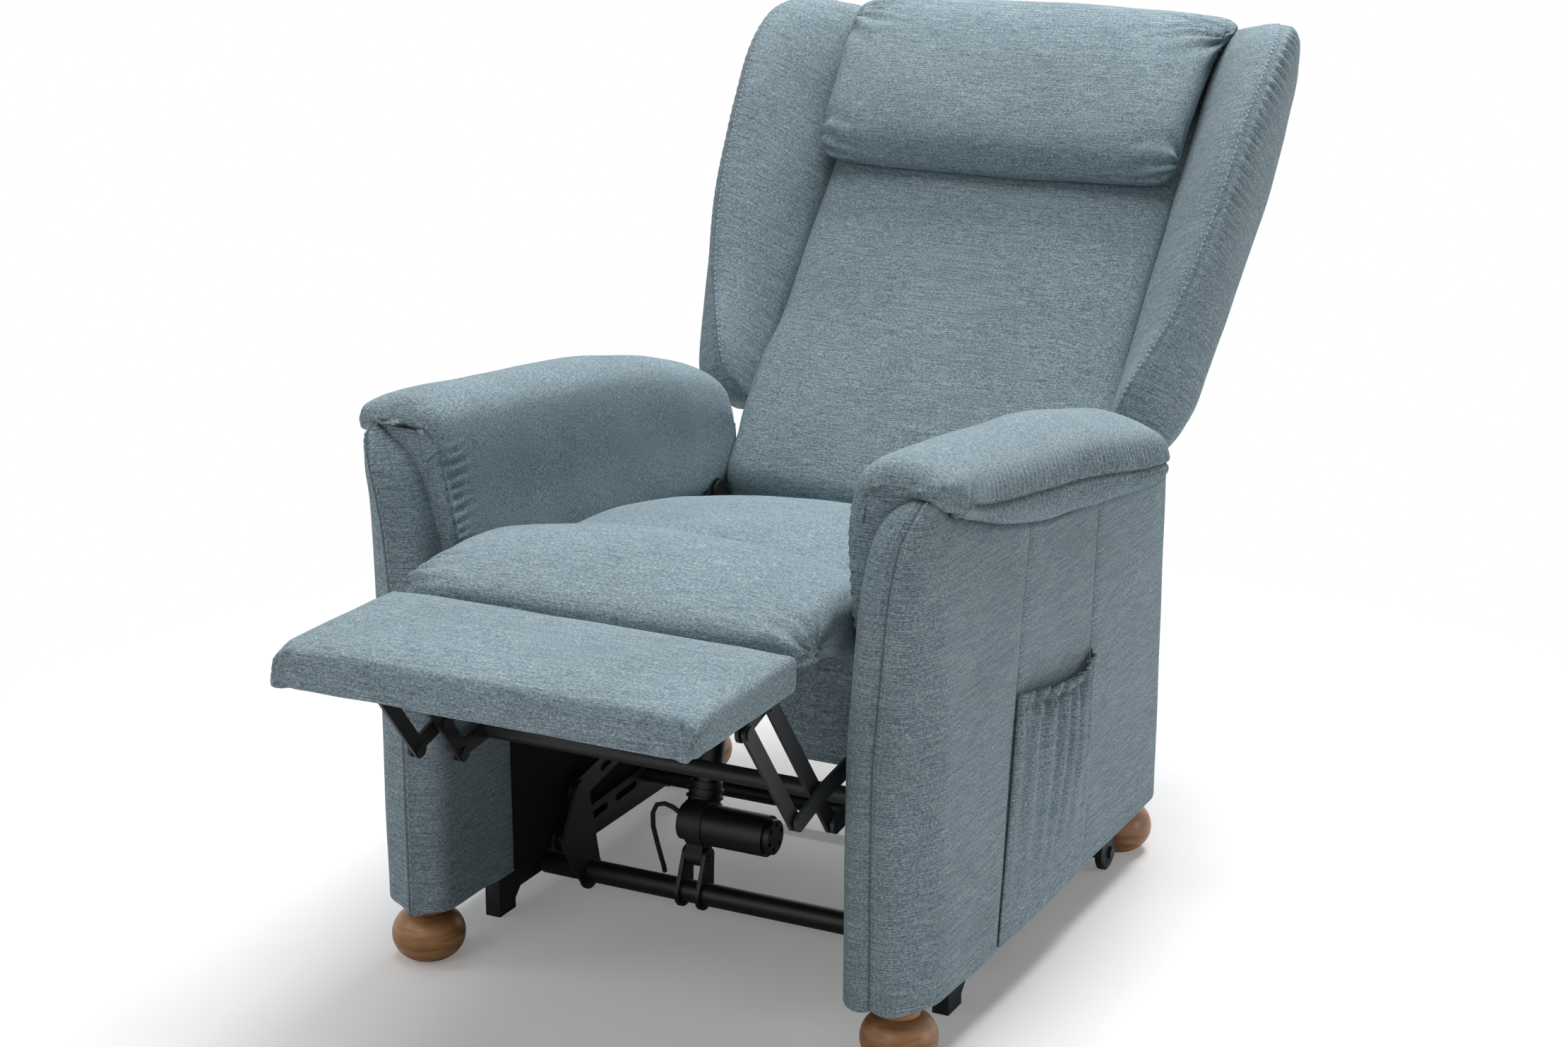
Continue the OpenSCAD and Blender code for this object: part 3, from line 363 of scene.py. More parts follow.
oakTones = [(0.3, "#6d4527"), (0.5, "#9a6a3d"), (0.7, "#bb8850")]
birchTones = [(0.3, "#b08a58"), (0.55, "#caa671"), (0.75, "#d8bb8a")]
oak = grainedWood("turnedOak", oakTones, 60.0, (0.25, 0.25, 1.6), 0.42, 0.25)
plywood = grainedWood("birchPlywood", birchTones, 40.0, (0.3, 2.0, 2.0), 0.62, 0.0)


def plainCloth(name, code, stretch):  # thin black underlining with a plain weave, nearly matt
    # the threads are drawn 2 mm apart, coarser than the real 0.5 mm
    matt = {"Base Color": linear(code), "Roughness": 0.95, "Specular IOR Level": 0.15}
    material, tree, shader = newMaterial(name, matt)
    place3d = addNode(tree, "ShaderNodeTexCoord").outputs["Object"]
    threads = addNode(tree, "ShaderNodeMapping", {"Scale": stretch}, {"Vector": place3d}).outputs[0]
    woven = addNode(tree, "ShaderNodeTexNoise", {"Scale": 1.0, "Detail": 2.0}, {"Vector": threads})
    bump = addNode(tree, "ShaderNodeBump", {"Strength": 0.35, "Distance": 0.0006}, {"Height": woven.outputs["Fac"]})
    tree.links.new(bump.outputs[0], shader.inputs["Normal"])
    return material


liningCloth = plainCloth("liningCloth", "#1a1b1d", (500, 500, 500))
elasticWeb = plainCloth("elasticWeb", "#2c2c2a", (500, 60, 60))

finishes = {
    "black_steel": blackSteel,
    "housing_plastic": darkPlastic,
    "rod_steel": rodSteel,
    "bolt_steel": boltSteel,
    "wheel_plastic": darkPlastic,
    "lead_rubber": blackRubber,
    "turned_wood": oak,
    "board_wood": plywood,
    "webbing": elasticWeb,
    "lining": liningCloth,
    "chenille": armCloth,
}
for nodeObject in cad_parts.values():
    for k, held in enumerate(nodeObject.data.materials):
        for slotName, finish in finishes.items():
            if held and held.name.startswith(slotName):
                nodeObject.data.materials[k] = finish
print("materials ready")

# seat cushion: domed between the arms, sloping down to the back
seatTop = [(0.1725, 0.515), (0.22, 0.5185), (0.28, 0.517), (0.38, 0.505), (0.5, 0.476), (0.6, 0.441), (0.65, 0.424)]
seat = {
    "rows": (rowsOf(70), rowsOf(62), rowsOf(12)),
    "reach": (0.248, 0.239, 0.05),
    "fillet": (0.030, 0.022, 0.028),
    "front": 0.1728,
    "rear": 0.650,
    "bow": 0.016,
    "low": 0.4028,
    "lowFrom": 0.105,
    "lowSlope": 0.105,
    "sideDrop": (0.050, 0.02),
    "sideCurve": 1.5,
    "unevenness": (0.0022, 0.09, 3),
}
seatMesh = segmentedBlock(seat["rows"])
for vert in seatMesh.verts:
    s, d, f = rounded(vert.co, seat["reach"], seat["fillet"])
    y = mixed(seat["front"], seat["rear"] - seat["bow"] * s * s, (d + 1) / 2)
    low = seat["low"] - seat["lowSlope"] * (y - seat["lowFrom"])  # the webbing slopes down to the back
    drop = mixed(*seat["sideDrop"], (d + 1) / 2) * abs(s) ** seat["sideCurve"]
    high = stationAt(seatTop, y)[0] - drop
    vert.co = place(s * seat["reach"][0], y, mixed(low, high, (f + 1) / 2))
undulate(seatMesh, *seat["unevenness"])
seatCushion = finished("seatCushion", seatMesh, "chair", seatCloth)
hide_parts("seat_cushion")

# front pad: bridges from the seat to the footrest, with a full crown, a soft nose and gathered front corners
padLine = [  # along the pad: top, underside
    (-0.082, 0.512, 0.478),
    (-0.05, 0.523, 0.471),
    (0.0, 0.535, 0.461),
    (0.05, 0.5405, 0.451),
    (0.10, 0.540, 0.444),
    (0.14, 0.532, 0.436),
    (0.1715, 0.517, 0.431),
]
pad = {
    "rows": (rowsOf(100), rowsOf(64), rowsOf(16)),
    "reach": (0.243, 0.127, 0.035),
    "fillet": (0.024, 0.018, 0.021),
    "front": -0.084,
    "rear": 0.1722,
    "bow": 0.006,
    "narrowing": 0.003,
    "sideDrop": (0.004, 0.034),
    "sideCurve": 2.2,
    "unevenness": (0.0016, 0.07, 9),
    "folds": {"reach": 0.085, "count": 9, "depth": 0.0055, "clear": 0.012},
}
padMesh = segmentedBlock(pad["rows"])
for vert in padMesh.verts:
    s, d, f = rounded(vert.co, pad["reach"], pad["fillet"])
    y = mixed(pad["front"] + pad["bow"] * s * s, pad["rear"], (d + 1) / 2)
    top, low = stationAt(padLine, y)
    drop = mixed(*pad["sideDrop"], (d + 1) / 2) * abs(s) ** pad["sideCurve"]
    wide = pad["reach"][0] - pad["narrowing"] * (1 - d) / 2
    vert.co = place(s * wide, y, mixed(low, top - drop, (f + 1) / 2))
undulate(padMesh, *pad["unevenness"])
for side in (-1, 1):
    corner = place(side * 0.240, -0.045, 0.486)
    gather(padMesh, corner, (side * 0.9, -0.4, 0.0), {**pad["folds"], "phase": side})
frontPad = finished("frontPad", padMesh, "chair", seatCloth)
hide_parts("front_pad")

# footrest pad: crowned box cushion with pointed front corners, its cloth turned in under the board
rest = {
    "rows": (rowsOf(80), rowsOf(44), rowsOf(10)),
    "reach": (0.244, 0.113, 0.021),
    "fillet": (0.005, 0.006, 0.011),
    "front": -0.310,
    "rear": -0.0862,
    "low": 0.4562,
    "high": 0.4965,
    "turnIn": 0.4590,
    "crown": 0.010,
    "nip": 0.004,
    "point": 0.006,
    "slant": 0.004,
    "unevenness": (0.0014, 0.06, 17),
    "folds": {"reach": 0.055, "count": 7, "depth": 0.0026, "clear": 0.01},
}
restMesh = segmentedBlock(rest["rows"])
for vert in restMesh.verts:
    s, d, f = rounded(vert.co, rest["reach"], rest["fillet"])
    y = mixed(rest["front"], rest["rear"], (d + 1) / 2)
    crown = rest["crown"] * (1 - s**4) * (1 - d**4)
    nip = rest["nip"] * eased(0.90, 1, abs(s)) * eased(0.7, 1, -d)  # front corners dip
    atFront = eased(0.6, 1, -d)  # and run out to points low down
    y -= rest["point"] * abs(s) ** 6 * atFront * (1 - f) / 2 - rest["slant"] * (f + 1) * atFront
    low = mixed(rest["low"], rest["turnIn"], eased(0.93, 0.86, abs(s)) * eased(0.90, 0.80, abs(d)))
    vert.co = place(s * rest["reach"][0], y, mixed(low, rest["high"] + crown - nip, (f + 1) / 2))
undulate(restMesh, *rest["unevenness"])
for side in (-1, 1):
    corner = place(side * 0.243, -0.308, 0.480)
    gather(restMesh, corner, (side * 0.6, -0.7, 0.3), {**rest["folds"], "phase": 2 * side})
footrestPad = finished("footrestPad", restMesh, "footrest", seatCloth)
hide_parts("footrest_pad")

# back cushion: one long panel with a lumbar swell, widest just above the arms
backLine = [
    (0.004, -0.004),
    (0.03, 0.008),
    (0.10, 0.012),
    (0.2, 0.007),
    (0.3, 0.004),
    (0.45, 0.001),
    (0.62, -0.006),
    (0.764, -0.02),
]
backWidth = [
    (0.0, 0.2475),
    (0.085, 0.2475),
    (0.125, 0.2535),
    (0.17, 0.2565),
    (0.21, 0.2545),
    (0.27, 0.2475),
    (0.764, 0.2475),
]
back = {
    "rows": (rowsOf(80), rowsOf(110), rowsOf(10)),
    "reach": (0.2475, 0.38, 0.034),
    "fillet": (0.024, 0.026, 0.026),
    "foot": 0.004,
    "top": 0.764,
    "rear": -0.0576,
    "bow": 0.016,
    "hang": 0.042,
    "sideDrop": 0.014,
    "square": 0.5,
    "unevenness": (0.0022, 0.11, 29),
}
backMesh = segmentedBlock(back["rows"])
for vert in backMesh.verts:
    s, d, f = rounded(vert.co, back["reach"], back["fillet"])
    # the rear of the foot hangs down behind the seat
    foot = back["foot"] + back["bow"] * s * s - back["hang"] * eased(0.2, -0.9, f) * eased(0.97, 0.93, abs(s))
    t = mixed(foot, back["top"], (d + 1) / 2)
    high = stationAt(backLine, t)[0] - back["sideDrop"] * abs(s) ** 3
    # squarer low down, where it fills the space between the arms
    square = (1 - eased(0.10, 0.16, t)) * eased(0.7, 1, abs(s)) * back["square"]
    x = mixed(s, math.copysign(1, s), square) * stationAt(backWidth, t)[0]
    vert.co = onBack(x, t, mixed(back["rear"], high, (f + 1) / 2))
undulate(backMesh, *back["unevenness"])
backCushion = finished("backCushion", backMesh, "back", backCloth)
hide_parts("back_cushion")

# head pillow: rolled over the top, flared at its top corners, with an overhanging lower edge
pillowLine = [
    (0.502, 0.030),
    (0.53, 0.049),
    (0.58, 0.056),
    (0.64, 0.054),
    (0.69, 0.048),
    (0.73, 0.038),
    (0.76, 0.022),
    (0.778, 0.006),
    (0.790, -0.006),
]
pillow = {
    "rows": (rowsOf(110), rowsOf(70), rowsOf(16)),
    "reach": (0.2475, 0.144, 0.034),
    "fillet": (0.026, 0.026, 0.026),
    "foot": 0.499,
    "top": 0.790,
    "bow": 0.008,
    "rear": (-0.005, -0.026),
    "sideDrop": 0.010,
    "cornerDrop": 0.018,
    "flare": 0.016,
    "spread": 0.020,
    "unevenness": (0.0022, 0.08, 41),
    "lowFolds": {"reach": 0.07, "count": 8, "depth": 0.0046, "clear": 0.012},
    "topFolds": {"reach": 0.10, "count": 11, "phase": 2, "depth": 0.0055, "clear": 0.014},
}
pillowMesh = segmentedBlock(pillow["rows"])
for vert in pillowMesh.verts:
    s, d, f = rounded(vert.co, pillow["reach"], pillow["fillet"])
    t = mixed(pillow["foot"] + pillow["bow"] * s * s, pillow["top"] - pillow["bow"] * s * s, (d + 1) / 2)
    upper = eased(0.35, 1, d)
    drop = pillow["sideDrop"] * abs(s) ** 3
    high = stationAt(pillowLine, t)[0] - drop - pillow["cornerDrop"] * upper * abs(s) ** 8
    low = mixed(*pillow["rear"], (d + 1) / 2)
    wide = pillow["reach"][0] + pillow["flare"] * upper
    wide = wide + pillow["spread"] * (0.45 + 0.55 * eased(-0.7, 0.3, d)) * (f + 1) / 2
    vert.co = onBack(s * wide, t, mixed(low, high, (f + 1) / 2))
undulate(pillowMesh, *pillow["unevenness"])
for side in (-1, 1):
    lowCorner, topCorner = onBack(side * 0.242, 0.530, 0.010), onBack(side * 0.262, 0.735, 0.004)
    gather(pillowMesh, lowCorner, (side * 0.9, 0.2, 0.2), {**pillow["lowFolds"], "phase": side})
    gather(pillowMesh, topCorner, (side * 0.9, 0.1, 0.2), pillow["topFolds"])
headPillow = finished("headPillow", pillowMesh, "back", backCloth)
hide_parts("head_pillow")
print("cushions ready")

# wings: each section runs from the cushion over a rounded ridge to the rear edge, and the top ends in a round lobe
wingLine = [  # up the back: ridge, its height out of the back, rear edge, root
    (0.148, 0.266, 0.004, 0.292, 0.2484),
    (0.156, 0.274, 0.026, 0.314, 0.2484),
    (0.172, 0.283, 0.041, 0.328, 0.2484),
    (0.20, 0.294, 0.051, 0.337, 0.2484),
    (0.25, 0.313, 0.056, 0.343, 0.2484),
    (0.30, 0.329, 0.062, 0.348, 0.2484),
    (0.40, 0.348, 0.078, 0.354, 0.2484),
    (0.50, 0.358, 0.090, 0.360, 0.2484),
    (0.56, 0.362, 0.094, 0.361, 0.2484),
    (0.61, 0.366, 0.092, 0.361, 0.2484),
    (0.66, 0.367, 0.085, 0.359, 0.2484),
    (0.70, 0.364, 0.072, 0.358, 0.2484),
    (0.73, 0.357, 0.050, 0.354, 0.2484),
    (0.75, 0.345, 0.028, 0.344, 0.250),
    (0.762, 0.332, 0.008, 0.332, 0.260),
    (0.771, 0.316, -0.010, 0.318, 0.284),
]
wing = {
    "sides": 84,
    "rows": 240,
    "rear": -0.0585,
    "low": -0.016,
    "ruche": 0.0026,
    "ruchePitch": 0.0135,
    "rucheWidth": 0.030,
    "leftShare": 0.2,
    "crease": 0.0036,
    "creaseWidth": 0.004,
    "darkWidth": 0.002,
    "unevenness": (0.0016, 0.09),
}
for side, wingName in hands:
    wingMesh, spots = segmentedTube(wing["sides"], wing["rows"])
    sections = []
    for k in range(wing["rows"]):
        u = k / (wing["rows"] - 1)
        t = mixed(wingLine[0][0], wingLine[-1][0], mixed(u, 0.5 - 0.5 * math.cos(math.pi * u), 0.75))
        ridge, rise, edge, root = stationAt(wingLine, t)
        rear, low = wing["rear"], wing["low"]
        width = ridge - root
        corners = [
            (ridge - 0.002, mixed(low, rise, 0.99)),
            (ridge + 0.010, mixed(low, rise, 0.80)),
            (mixed(ridge + 0.005, edge + 0.004, 0.5) + 0.009, mixed(low, rise, 0.42)),
            (edge + 0.006, -0.026),
            (edge - 0.003, rear + 0.004),
            (edge - 0.016, rear),
            (root, rear),
            (root, -0.020),
            (root + 0.16 * width, mixed(low, rise, 0.24)),
            (root + 0.46 * width, mixed(low, rise, 0.66)),
            (root + 0.76 * width, mixed(low, rise, 0.95)),
        ]
        sections.append([(x, t, n) for x, n in closedCurve(corners, wing["sides"])])
    fromSeam = {}
    for vert in wingMesh.verts:
        (x, t, n), off = roundSection(spots[vert], sections, side)
        fromSeam[vert] = off, t
        vert.co = onBack(side * x, t, n)
    undulate(wingMesh, *wing["unevenness"], 50 + side)

    def ruche(vert, fromSeam=fromSeam, side=side):
        off, t = fromSeam[vert]
        inner = eased(0.150, 0.175, t) * (1 - eased(0.735, 0.765, t))
        deep = inner * wing["crease"] * fading(off, wing["creaseWidth"])
        # painted shade along the crease of the ridge seam
        paintedShade = 0.45 * inner * fading(off, wing["darkWidth"])
        if off > 0:
            drift = 2.6 * noise.noise(Vector((t * 24, off * 12, 5 + side)))
            wave = math.sin(2 * math.pi * t / wing["ruchePitch"] + drift)
            strength = inner * (1 if side > 0 else wing["leftShare"]) * eased(0.003, 0.014, off)
            strength = strength * fading(off, wing["rucheWidth"]) * (0.35 + 0.65 * eased(0.3, 0.5, t))
            deep -= wing["ruche"] * wave * strength
            # painted shade in the valleys of the ruching
            paintedShade = max(paintedShade, 0.85 * strength * max(0, -wave))
        return deep, paintedShade

    press(wingMesh, ruche)
    wingPiece = finished("wingCover_" + wingName, wingMesh, "back", wingCloth)
    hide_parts("wing_" + wingName)
print("wings ready")

# the armrest pads' stations; the arms below read their lower edge
armrestLine = [  # along the arm: top, foot of the skirt, seam, lower edge outside, share of the width, overhang
    (0.016, 0.654, 0.640, 0.650, 0.646, 0.60, 0.000),
    (0.022, 0.665, 0.600, 0.646, 0.640, 0.86, 0.006),
    (0.032, 0.673, 0.540, 0.641, 0.632, 0.97, 0.011),
    (0.046, 0.677, 0.480, 0.635, 0.623, 1.0, 0.014),
    (0.070, 0.678, 0.445, 0.629, 0.612, 1.0, 0.015),
    (0.110, 0.675, 0.430, 0.618, 0.600, 1.0, 0.016),
    (0.187, 0.667, 0.430, 0.606, 0.575, 1.0, 0.018),
    (0.260, 0.659, 0.430, 0.596, 0.557, 1.0, 0.019),
    (0.375, 0.647, 0.430, 0.580, 0.539, 1.0, 0.019),
    (0.475, 0.630, 0.430, 0.562, 0.525, 1.0, 0.019),
    (0.554, 0.613, 0.428, 0.546, 0.514, 1.0, 0.019),
    (0.612, 0.598, 0.425, 0.537, 0.507, 1.0, 0.019),
    (0.655, 0.584, 0.425, 0.530, 0.503, 0.99, 0.017),
    (0.686, 0.570, 0.430, 0.524, 0.501, 0.95, 0.013),
    (0.704, 0.556, 0.440, 0.520, 0.502, 0.85, 0.006),
    (0.714, 0.536, 0.460, 0.516, 0.504, 0.66, 0.000),
]

# arms: one padded body each, with a domed front that leans out, a topstitched front seam and two seams down the side
arm = {
    "rows": (rowsOf(32, (0,), 0.06), rowsOf(110, (-0.312, 0.31), 0.010), rowsOf(84)),
    "reach": (0.05, 0.365, 0.2825),
    "middle": 0.30,
    "front": -0.010,
    "foot": 0.07,
    "shoulder": 0.5,  # the top's line shapes what lies above this height
    "above": 0.135,
    "round": 0.05,
    "edge": 0.012,
    "frontCurve": 0.045,
    "dome": (0.72, 0.75),
    "leanFades": (0.02, 0.10),
    "valley": 0.0035,
    "valleyWidth": 0.006,
    "swell": 0.0028,
    "groove": 0.0022,
    "grooveWidth": 0.005,
    "unevenness": (0.0012, 0.12),
}
armSeams = [  # mesh row, then height and distance behind the arm front
    (-0.312, [(0.077, 0.202), (0.353, 0.241), (0.54, 0.27)]),
    (0.31, [(0.072, 0.456), (0.348, 0.468), (0.512, 0.484)]),
]
armLean = [
    (0.07, 0.0),
    (0.36, 0.002),
    (0.417, 0.006),
    (0.503, 0.012),
    (0.564, 0.021),
    (0.614, 0.034),
    (0.645, 0.044),
]
armTop = [
    (-0.01, 0.643),
    (0.03, 0.643),
    (0.06, 0.637),
    (0.10, 0.626),
    (0.15, 0.607),
    (0.20, 0.588),
    (0.27, 0.568),
    (0.35, 0.555),
    (0.42, 0.549),
    (0.56, 0.548),
    (0.72, 0.490),
]
frontSeam = [
    (0.07, 0.289),
    (0.20, 0.289),
    (0.345, 0.290),
    (0.399, 0.294),
    (0.471, 0.300),
    (0.542, 0.307),
    (0.60, 0.319),
    (0.635, 0.332),
]
for side, armName in hands:
    armMesh = segmentedBlock(arm["rows"])
    for vert in armMesh.verts:
        a, b, c = vert.co
        isRound = max(eased(0.5, 0.75, c), eased(0.6, 0.8, -b))
        sideCurve = mixed(arm["edge"], arm["round"], isRound)
        frontCurve = arm["frontCurve"] if b < 0 else arm["edge"]
        topCurve = arm["round"] if c > 0 else arm["edge"]
        fillet = (sideCurve, frontCurve, topCurve)
        s, d, f = rounded(vert.co, arm["reach"], fillet)
        flat, domed = arm["dome"]
        deep = flat if s < 0 else flat + domed * eased(0, 1, s)
        inset = min(arm["frontCurve"], (d + 1) * arm["reach"][1])
        y = arm["front"] + (d + 1) * arm["reach"][1] + (deep - 1) * inset * (1 - eased(-0.85, -0.45, b))
        z = arm["foot"] + (f + 1) * arm["reach"][2]
        if z > arm["shoulder"]:
            tall = stationAt(armTop, y)[0] - arm["shoulder"]
            z = arm["shoulder"] + (z - arm["shoulder"]) * tall / arm["above"]
        for row, line in armSeams:
            near = max(0.0, 1 - ((b - row) / 0.25) ** 2) ** 2
            y += near * (stationAt(line, z)[0] - (arm["front"] + (row + 1) * arm["reach"][1]))
        front = 1 - eased(*arm["leanFades"], y)
        leaning = stationAt(armLean, z)[0] * (1 - s) / 2
        middle = arm["middle"] + stationAt(armLean, z)[0] / 2
        shift = (stationAt(frontSeam, z)[0] - middle) * (1 - s * s)
        x = arm["middle"] + s * arm["reach"][0] + front * (leaning + shift)
        vert.co = place(side * x, y, z)
    undulate(armMesh, *arm["unevenness"], 60 + side)

    def seamDepthAndShade(vert, side=side):
        at = vert.co
        x, y = side * at.x, at.y - armFront
        deep = paintedShade = 0.0
        if x > 0.345:
            for row, line in armSeams:
                off = y - stationAt(line, at.z)[0]
                deep = max(deep, arm["groove"] * fading(off, arm["grooveWidth"]))
                # painted shade along the side seams
                paintedShade = max(paintedShade, 0.85 * fading(off, 0.002))
        if y < 0.045:
            aside = abs(x - stationAt(frontSeam, at.z)[0])
            fade = 1 - eased(0.015, 0.045, y)
            beside = arm["swell"] * fading(aside - 0.024, 0.013)
            deep += fade * (arm["valley"] * fading(aside, arm["valleyWidth"]) - beside)
            # painted shade along the front seam's valley
            paintedShade = fade * fading(aside, 0.0018)
        if x > 0.335 and y > 0.03:  # painted shadow right under the armrest pad
            paintedShade = max(paintedShade, 0.75 * fading(at.z - stationAt(armrestLine, y)[3], 0.006))
        return deep, paintedShade

    press(armMesh, seamDepthAndShade)
    armPiece = finished("arm_" + armName, armMesh, "chair", armCloth)
    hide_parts("arm_body_" + armName, "arm_facing_" + armName)
print("arms ready")

# armrest pads: a long roll over the arm, with a skirt down the inner side and a gathered seam along the outer side
armrest = {
    "sides": 120,
    "rows": 320,
    "middle": (0.298, 0.250),
    "gather": 0.0040,
    "gatherPitch": 0.0115,
    "gatherWidth": 0.029,
    "crease": 0.0034,
    "creaseWidth": 0.0028,
    "tuck": 0.0020,
    "tuckPitch": 0.0135,
    "tuckWidth": 0.026,
    "unevenness": (0.0018, 0.08),
    "folds": {"reach": 0.06, "count": 6, "depth": 0.0035, "clear": 0.01},
}
for side, armName in hands:
    padMesh, spots = segmentedTube(armrest["sides"], armrest["rows"])
    sections = []
    for k in range(armrest["rows"]):
        u = k / (armrest["rows"] - 1)
        y = mixed(armrestLine[0][0], armrestLine[-1][0], mixed(u, 0.5 - 0.5 * math.cos(math.pi * u), 0.7))
        top, skirt, seam, tuck, wide, over = stationAt(armrestLine, y)
        mid = mixed(*armrest["middle"], eased(0.5, 0.65, y))

        def at(x, mid=mid, wide=wide):
            return mid + (x - mid) * wide

        corners = [
            (at(0.351) + 0.95 * over, seam),
            (at(0.351) + 0.95 * over, mixed(seam, tuck, 0.4)),
            (at(0.351) + 0.55 * over, tuck + 0.006),
            (at(0.345), tuck),
            (at(0.330), tuck + 0.004),
            (at(0.292), skirt + 0.016),
            (at(0.2465), skirt),
            (at(0.2455), mixed(skirt, top, 0.45)),
            (at(0.2465), top - 0.045),
            (at(0.258), top - 0.014),
            (at(0.290), top),
            (at(0.325), top - 0.004),
            (at(0.350) + 0.5 * over, mixed(top, seam, 0.36)),
            (at(0.352) + 0.95 * over, mixed(seam, top, 0.2)),
        ]
        sections.append([(x, y, z) for x, z in closedCurve(corners, armrest["sides"])])
    fromSeam = {}
    for vert in padMesh.verts:
        (x, y, z), fromSeam[vert] = roundSection(spots[vert], sections, side)
        vert.co = place(side * x, y, z)
    undulate(padMesh, *armrest["unevenness"], 70 + side)

    def ruffle(vert, fromSeam=fromSeam, side=side):
        x, y, z = side * vert.co.x, vert.co.y - armFront, vert.co.z
        deep = paintedShade = 0.0
        if x > 0.325:  # the gathered seam along the outer side
            off = fromSeam[vert]
            drift = 2.2 * noise.noise(Vector((y * 26, off * 14, 7 + side)))
            wave = math.sin(2 * math.pi * y / armrest["gatherPitch"] + drift)
            strength = fading(off, armrest["gatherWidth"]) * eased(0.07, 0.16, y)
            strength = strength * (0.45 + 0.55 * eased(0.2, 0.45, y)) * (1 - eased(0.665, 0.70, y))
            there = eased(0.05, 0.09, y) * (1 - eased(0.69, 0.712, y))
            crease = armrest["crease"] * fading(off, armrest["creaseWidth"])
            deep += crease * there - armrest["gather"] * wave * strength
            # painted shade along the seam crease and in the valleys of the gathers
            paintedShade = max(there * fading(off, 0.002), strength * max(0, -wave) ** 1.5)
        elif x < 0.262:  # tucks at the front of the inner skirt
            drift = 2.4 * noise.noise(Vector((z * 30, y * 9, side)))
            wave = math.sin(2 * math.pi * z / armrest["tuckPitch"] + drift)
            tucked = armrest["tuck"] * wave * fading(y - 0.05, armrest["tuckWidth"])
            deep -= tucked * eased(0.45, 0.50, z) * (1 - eased(0.60, 0.64, z))
        return deep, paintedShade

    press(padMesh, ruffle)
    corner = place(side * 0.362, 0.060, 0.622)
    gather(padMesh, corner, (side * 0.8, -0.6, 0.1), {**armrest["folds"], "phase": side})
    padPiece = finished("armrestPad_" + armName, padMesh, "chair", seatCloth)
    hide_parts("armrest_pad_" + armName)
print("armrest pads ready")

# side pocket: a bag between the two side seams, gathered into an elastic edge at its mouth
pocketMouth = [(0.0, 0.366), (0.15, 0.361), (0.39, 0.352), (0.58, 0.345), (0.76, 0.341), (0.88, 0.344), (1.0, 0.352)]
pocket = {
    "columns": 170,
    "rows": 90,
    "foot": 0.080,
    "out": 0.3508,
    "stand": 0.013,
    "band": 0.945,
    "bandSwell": 0.0032,
    "folds": 6.5,
    "fold": 0.0056,
    "curls": 13,
    "ruffle": 0.0052,
    "thickness": 0.0018,
}
pocketMesh = bmesh.new()
# the 'seam' layer holds the pocket's painted shade
pocketShade = pocketMesh.verts.layers.float.new("seam")
bmesh.ops.create_grid(pocketMesh, x_segments=pocket["columns"], y_segments=pocket["rows"], size=1)
for vert in pocketMesh.verts:
    u, h = (vert.co.x + 1) / 2, (vert.co.y + 1) / 2
    arch = math.sin(math.pi * u)
    z = mixed(pocket["foot"], stationAt(pocketMouth, u)[0], h)
    drift = noise.noise(Vector((u * 2.5, h * 0.9, 4)))
    wave = math.sin(2 * math.pi * pocket["folds"] * u + 2.2 * drift)
    stand = pocket["stand"] * arch**0.45 * (0.25 + 0.75 * eased(0.0, 0.7, h))
    fold = pocket["fold"] * math.copysign(abs(wave) ** 0.75, wave) * arch**0.4
    fold = fold * eased(0.05, 0.9, h) * (1 - 0.4 * eased(0.9, 1, h))
    curl = math.sin(2 * math.pi * pocket["curls"] * u + 1.6 * noise.noise(Vector((u * 7, h * 2, 2))))
    gathered = eased(0.84, 0.97, h) * arch**0.3
    ruffle = pocket["ruffle"] * curl * gathered
    under = fading(h - pocket["band"], 0.014)
    # painted shade in the fold valleys, in the ruffle valleys and below the elastic band
    foldShade = 0.45 * max(0, -wave) ** 2 * arch**0.4 * eased(0.05, 0.9, h)
    vert[pocketShade] = max(0.85 * gathered * max(0, -curl), 0.7 * under * arch**0.3, foldShade)
    band = pocket["bandSwell"] * arch**0.3 * (eased(pocket["band"], 1, h) - under)
    frontEdge, rearEdge = (stationAt(line, z)[0] for row, line in armSeams)
    y = mixed(frontEdge, rearEdge + 0.006 * math.sin(math.pi * h), u)
    vert.co = place(pocket["out"] + stand + fold + ruffle + band, y, z + 0.6 * ruffle)
sidePocket = finished("sidePocket", pocketMesh, "chair", armCloth)
thick = sidePocket.modifiers.new("thickness", "SOLIDIFY")
thick.thickness = pocket["thickness"]
thick.offset = -1
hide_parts("side_pocket")
print("pocket ready")


# topstitching: short threads laid along a line on the cloth of a piece
def stitchAlong(mesh, carrier, line, settings):
    data = carrier.data
    surface = BVHTree.FromPolygons([v.co for v in data.vertices], [p.vertices[:] for p in data.polygons])
    line = np.array([tuple(p) for p in line])
    run = np.concatenate([[0], np.cumsum(np.linalg.norm(np.diff(line, axis=0), axis=1))])
    for spot in np.arange(settings["pitch"] / 2, run[-1], settings["pitch"]):
        here, ahead = (Vector([np.interp(s, run, line[:, k]) for k in range(3)]) for s in (spot, spot + 0.002))
        middle, normal = surface.find_nearest(here)[:2]
        along = surface.find_nearest(ahead)[0] - middle
        if along.length < 1e-5:
            continue
        along.normalize()
        normal = (normal - along * normal.dot(along)).normalized()
        turn = Matrix((along, normal.cross(along), normal)).transposed().to_4x4()
        size = Matrix.Diagonal((settings["length"] / 2, settings["width"] / 2, settings["width"] / 2.2, 1))
        spotAt = Matrix.Translation(middle + normal * 0.0002)
        bmesh.ops.create_icosphere(mesh, subdivisions=1, radius=1, matrix=spotAt @ turn @ size)


